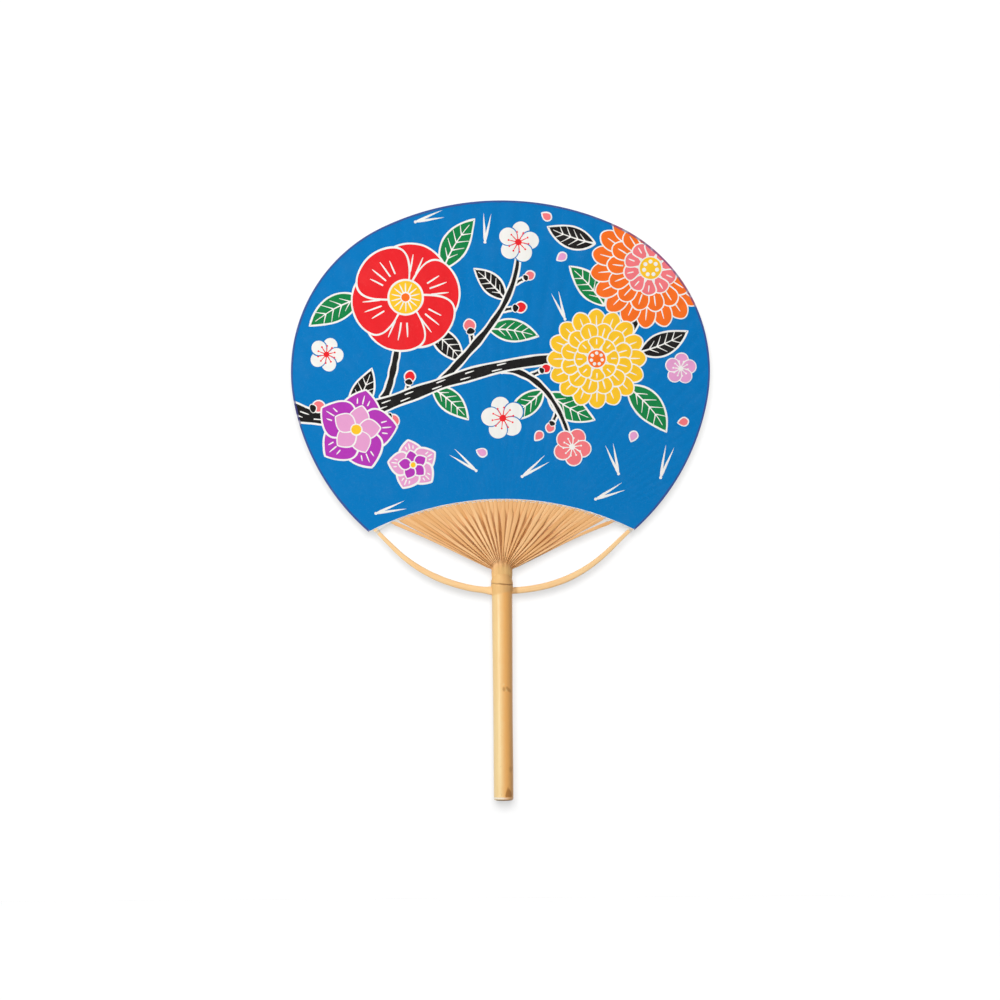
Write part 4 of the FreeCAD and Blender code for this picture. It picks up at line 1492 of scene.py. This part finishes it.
class FAN_OT_edge_strip(bpy.types.Operator):
    """Fold the narrow strip over the rim of both sheets"""
    bl_idname = "fan.edge_strip"
    bl_label = "Edge Strip"

    show_through = 0.3
    crease = 40
    ease = 0.05 * MM

    def execute(self, context):
        sizes = context.scene.fan_sizes
        colours = context.scene.fan_colours
        leaf = Leaf(sizes)
        rim = leaf.rim()
        inwards = sideways(rim, False)
        outer, inner = -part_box("edge_binding")[0].y, leaf.outer_depth
        wall = outer - inner
        fronts, backs = (self.widths(run_lengths(rim), sizes, seed) for seed in (2.9, 7.7))
        rings = []
        for spot, way, front, back in zip(rim, inwards, fronts, backs):
            profile = [(reach, -depth) for reach, depth in self.face(front, wall, outer)]
            profile += self.face(back, wall, outer)[::-1]
            profile += [(back, inner), (wall, inner), (wall, -inner), (front, -inner)]
            rings.append([upright(spot + way * reach, depth) for reach, depth in profile])
        rings = np.array(rings)
        finish = strip_finish(colours)
        made = piece("folded_edge_strip", *loft(rings), finish, "binding_paper", ["edge_binding"],
                     self.crease)
        shades = self.shades(leaf, colours, rim + inwards * sizes.strip_width / 2)
        shades = np.repeat(np.insert(shades, 3, 1.0, axis=1), rings.shape[1], axis=0)
        store(made.data, "dye", shades, "FLOAT_COLOR")
        return {"FINISHED"}

    def face(self, width, wall, outer):
        """Outside of the section on one face of the leaf, from the strip's edge to its fold."""
        soft = 0.3 * wall
        return [(width, outer - self.ease), (width - self.ease, outer), (wall, outer), (soft, outer - soft),
                (0, outer - wall)]

    def widths(self, runs, sizes, seed):
        """Uneven width of the strip on one face."""
        return sizes.strip_width * (1 + 0.2 * ripple(runs, 90, seed) + 0.12 * ripple(runs, 320, seed + 1))

    def shades(self, leaf, colours, spots):
        """Dye of the strip with a little of the print beneath it."""
        beneath = np.tile(colours.ground, (len(spots), 1))
        for points, tint in printed_areas(leaf):
            beneath[inside(spots, points)] = getattr(colours, tint)
        return blend(self.show_through, colours.strip, beneath)


class FAN_OT_stage(bpy.types.Operator):
    """Set the camera, the lamps, the floor and the backdrop close behind the fan"""
    bl_idname = "fan.stage"
    bl_label = "Stage"

    backdrop_gap = 2.0 * MM
    floor_drop = 60 * MM
    camera_shift = (-0.85 * MM, 0.25 * MM)
    target = Vector((0, 0, 0.2))
    # Place and size of each lamp, in metres
    lamps = {"key": ((-0.18, -3.0, 1.25), (2.0, 1.7)), "backdrop": ((-0.36, -6.0, 2.3), (4.0, 3.4)),
             "side": ((-0.9, -1.03, 0.25), (0.3, 1.3)), "back": ((0.3, 1.2, 0.9), (0.9, 0.9))}
    # Width of each board in metres, its grey and its glow
    boards = {"backdrop": (4.0, 0.15, 0.6), "floor": (4.4, 0.55, 0.75)}

    def execute(self, context):
        stage = context.scene.fan_stage
        context.scene.view_settings.view_transform = "Standard"
        self.camera(context, stage)
        lamps = {name: self.lamp(context, name, getattr(stage, name)) for name in self.lamps}
        self.sky(context, stage.sky)
        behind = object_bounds()[1][1] + self.backdrop_gap
        backdrop = self.board(context, "backdrop", (0, behind, 0.5), math.pi / 2)
        floor = self.board(context, "floor", (0, 0, -self.floor_drop), 0)
        self.clear_behind(backdrop)
        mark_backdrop(backdrop, floor)
        for name, shown in (("side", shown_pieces()), ("back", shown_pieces()), ("backdrop", [backdrop])):
            self.aim(lamps[name], shown)
        return {"FINISHED"}

    def camera(self, context, stage):
        low, high = CAD_BOX
        lens = bpy.data.cameras.new("camera")
        lens.sensor_width = 36
        lens.lens = lens.sensor_width * stage.distance / stage.field
        camera = bpy.data.objects.new("camera", lens)
        aside, rise = self.camera_shift
        camera.location = (aside, -stage.distance, (low[2] + high[2]) / 2 + rise)
        camera.rotation_euler = (math.pi / 2, stage.roll, 0)
        context.collection.objects.link(camera)
        context.scene.camera = camera

    def lamp(self, context, name, power):
        """Rectangular lamp that faces the fan."""
        light = bpy.data.lights.new(name + "_lamp", "AREA")
        light.shape = "RECTANGLE"
        light.energy = power
        lamp = bpy.data.objects.new(name + "_lamp", light)
        lamp.location, (light.size, light.size_y) = self.lamps[name]
        lamp.rotation_euler = (self.target - lamp.location).to_track_quat("-Z", "Y").to_euler()
        context.collection.objects.link(lamp)
        return lamp

    def aim(self, lamp, shown):
        """Flag a lamp off from everything but these objects."""
        lit = bpy.data.collections.new("lit_by_" + lamp.name)
        for each in shown:
            lit.objects.link(each)
        lamp.light_linking.receiver_collection = lit

    def sky(self, context, strength):
        """Even light from all around that looks white."""
        world = bpy.data.worlds.new("sky")
        world.use_nodes = True
        shades = Nodes(world.node_tree)
        seen = shades.looked_at()
        light = shades.mix(seen, (strength, strength, strength), (1, 1, 1))
        shades.feed(shades.tree.nodes["Background"].inputs["Color"], light)
        context.scene.world = world

    def board(self, context, name, place, tilt):
        """Board that keeps the fan's shadow; a glow that only looks add makes it white."""
        size, grey, glow = self.boards[name]
        mesh = bpy.data.meshes.new(name)
        corners = [(x * size / 2, y * size / 2, 0) for x, y in ((-1, -1), (1, -1), (1, 1), (-1, 1))]
        mesh.from_pydata(corners, [], [(0, 1, 2, 3)])
        board = bpy.data.objects.new(name, mesh)
        board.location = place
        board.rotation_euler = (tilt, 0, 0)
        context.collection.objects.link(board)
        finish = Finish(name + "_white", {"Base Color": (grey, grey, grey, 1), "Roughness": 0.9,
                                          "Specular IOR Level": 0.0, "Emission Strength": glow})
        finish.set({"Emission Color": finish.mix(finish.looked_at(), (0, 0, 0), (1, 1, 1))})
        mesh.materials.append(finish.material)
        return board

    def clear_behind(self, board):
        """Make a board clear from behind, for looks and for the lamps there."""
        board.visible_shadow = False
        shades = Nodes(board.data.materials[0].node_tree)
        back = shades.node("NewGeometry", {}, {}, "Backfacing")
        clear = shades.node("BsdfTransparent", {}, {})
        shown = Value(shades, shades.tree.nodes["Principled BSDF"].outputs[0])
        cover = shades.node("MixShader", {}, {0: back, 1: shown, 2: clear})
        shades.feed(shades.tree.nodes["Material Output"].inputs["Surface"], cover)


OPERATORS = (FAN_OT_handle, FAN_OT_ribs, FAN_OT_bow, FAN_OT_lacing, FAN_OT_sheets, FAN_OT_edge_strip,
             FAN_OT_stage)


class FAN_PT_sidebar(bpy.types.Panel):
    """Buttons for the fan's pieces, with the sizes and colours that they use"""
    bl_idname = "FAN_PT_sidebar"
    bl_label = "Round Paper Fan"
    bl_space_type = "VIEW_3D"
    bl_region_type = "UI"
    bl_category = "Fan"

    def draw(self, context):
        for operator in OPERATORS:
            self.layout.operator(operator.bl_idname)
        for group in (context.scene.fan_sizes, context.scene.fan_colours, context.scene.fan_stage):
            for name in group.__annotations__:
                self.layout.prop(group, name)


GROUPS = (("fan_sizes", FanSizes), ("fan_colours", FanColours), ("fan_stage", FanStage))


def register():
    for _, group in GROUPS:
        bpy.utils.register_class(group)
    for name, group in GROUPS:
        setattr(bpy.types.Scene, name, PointerProperty(type=group))
    for made in OPERATORS + (FAN_PT_sidebar,):
        bpy.utils.register_class(made)


def unregister():
    for made in (FAN_PT_sidebar,) + OPERATORS[::-1]:
        bpy.utils.unregister_class(made)
    for name, group in GROUPS:
        delattr(bpy.types.Scene, name)
        bpy.utils.unregister_class(group)


def main():
    register()
    for operator in OPERATORS:
        group, name = operator.bl_idname.split(".")
        getattr(getattr(bpy.ops, group), name)()
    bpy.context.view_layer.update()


if __name__ == "__main__":
    main()
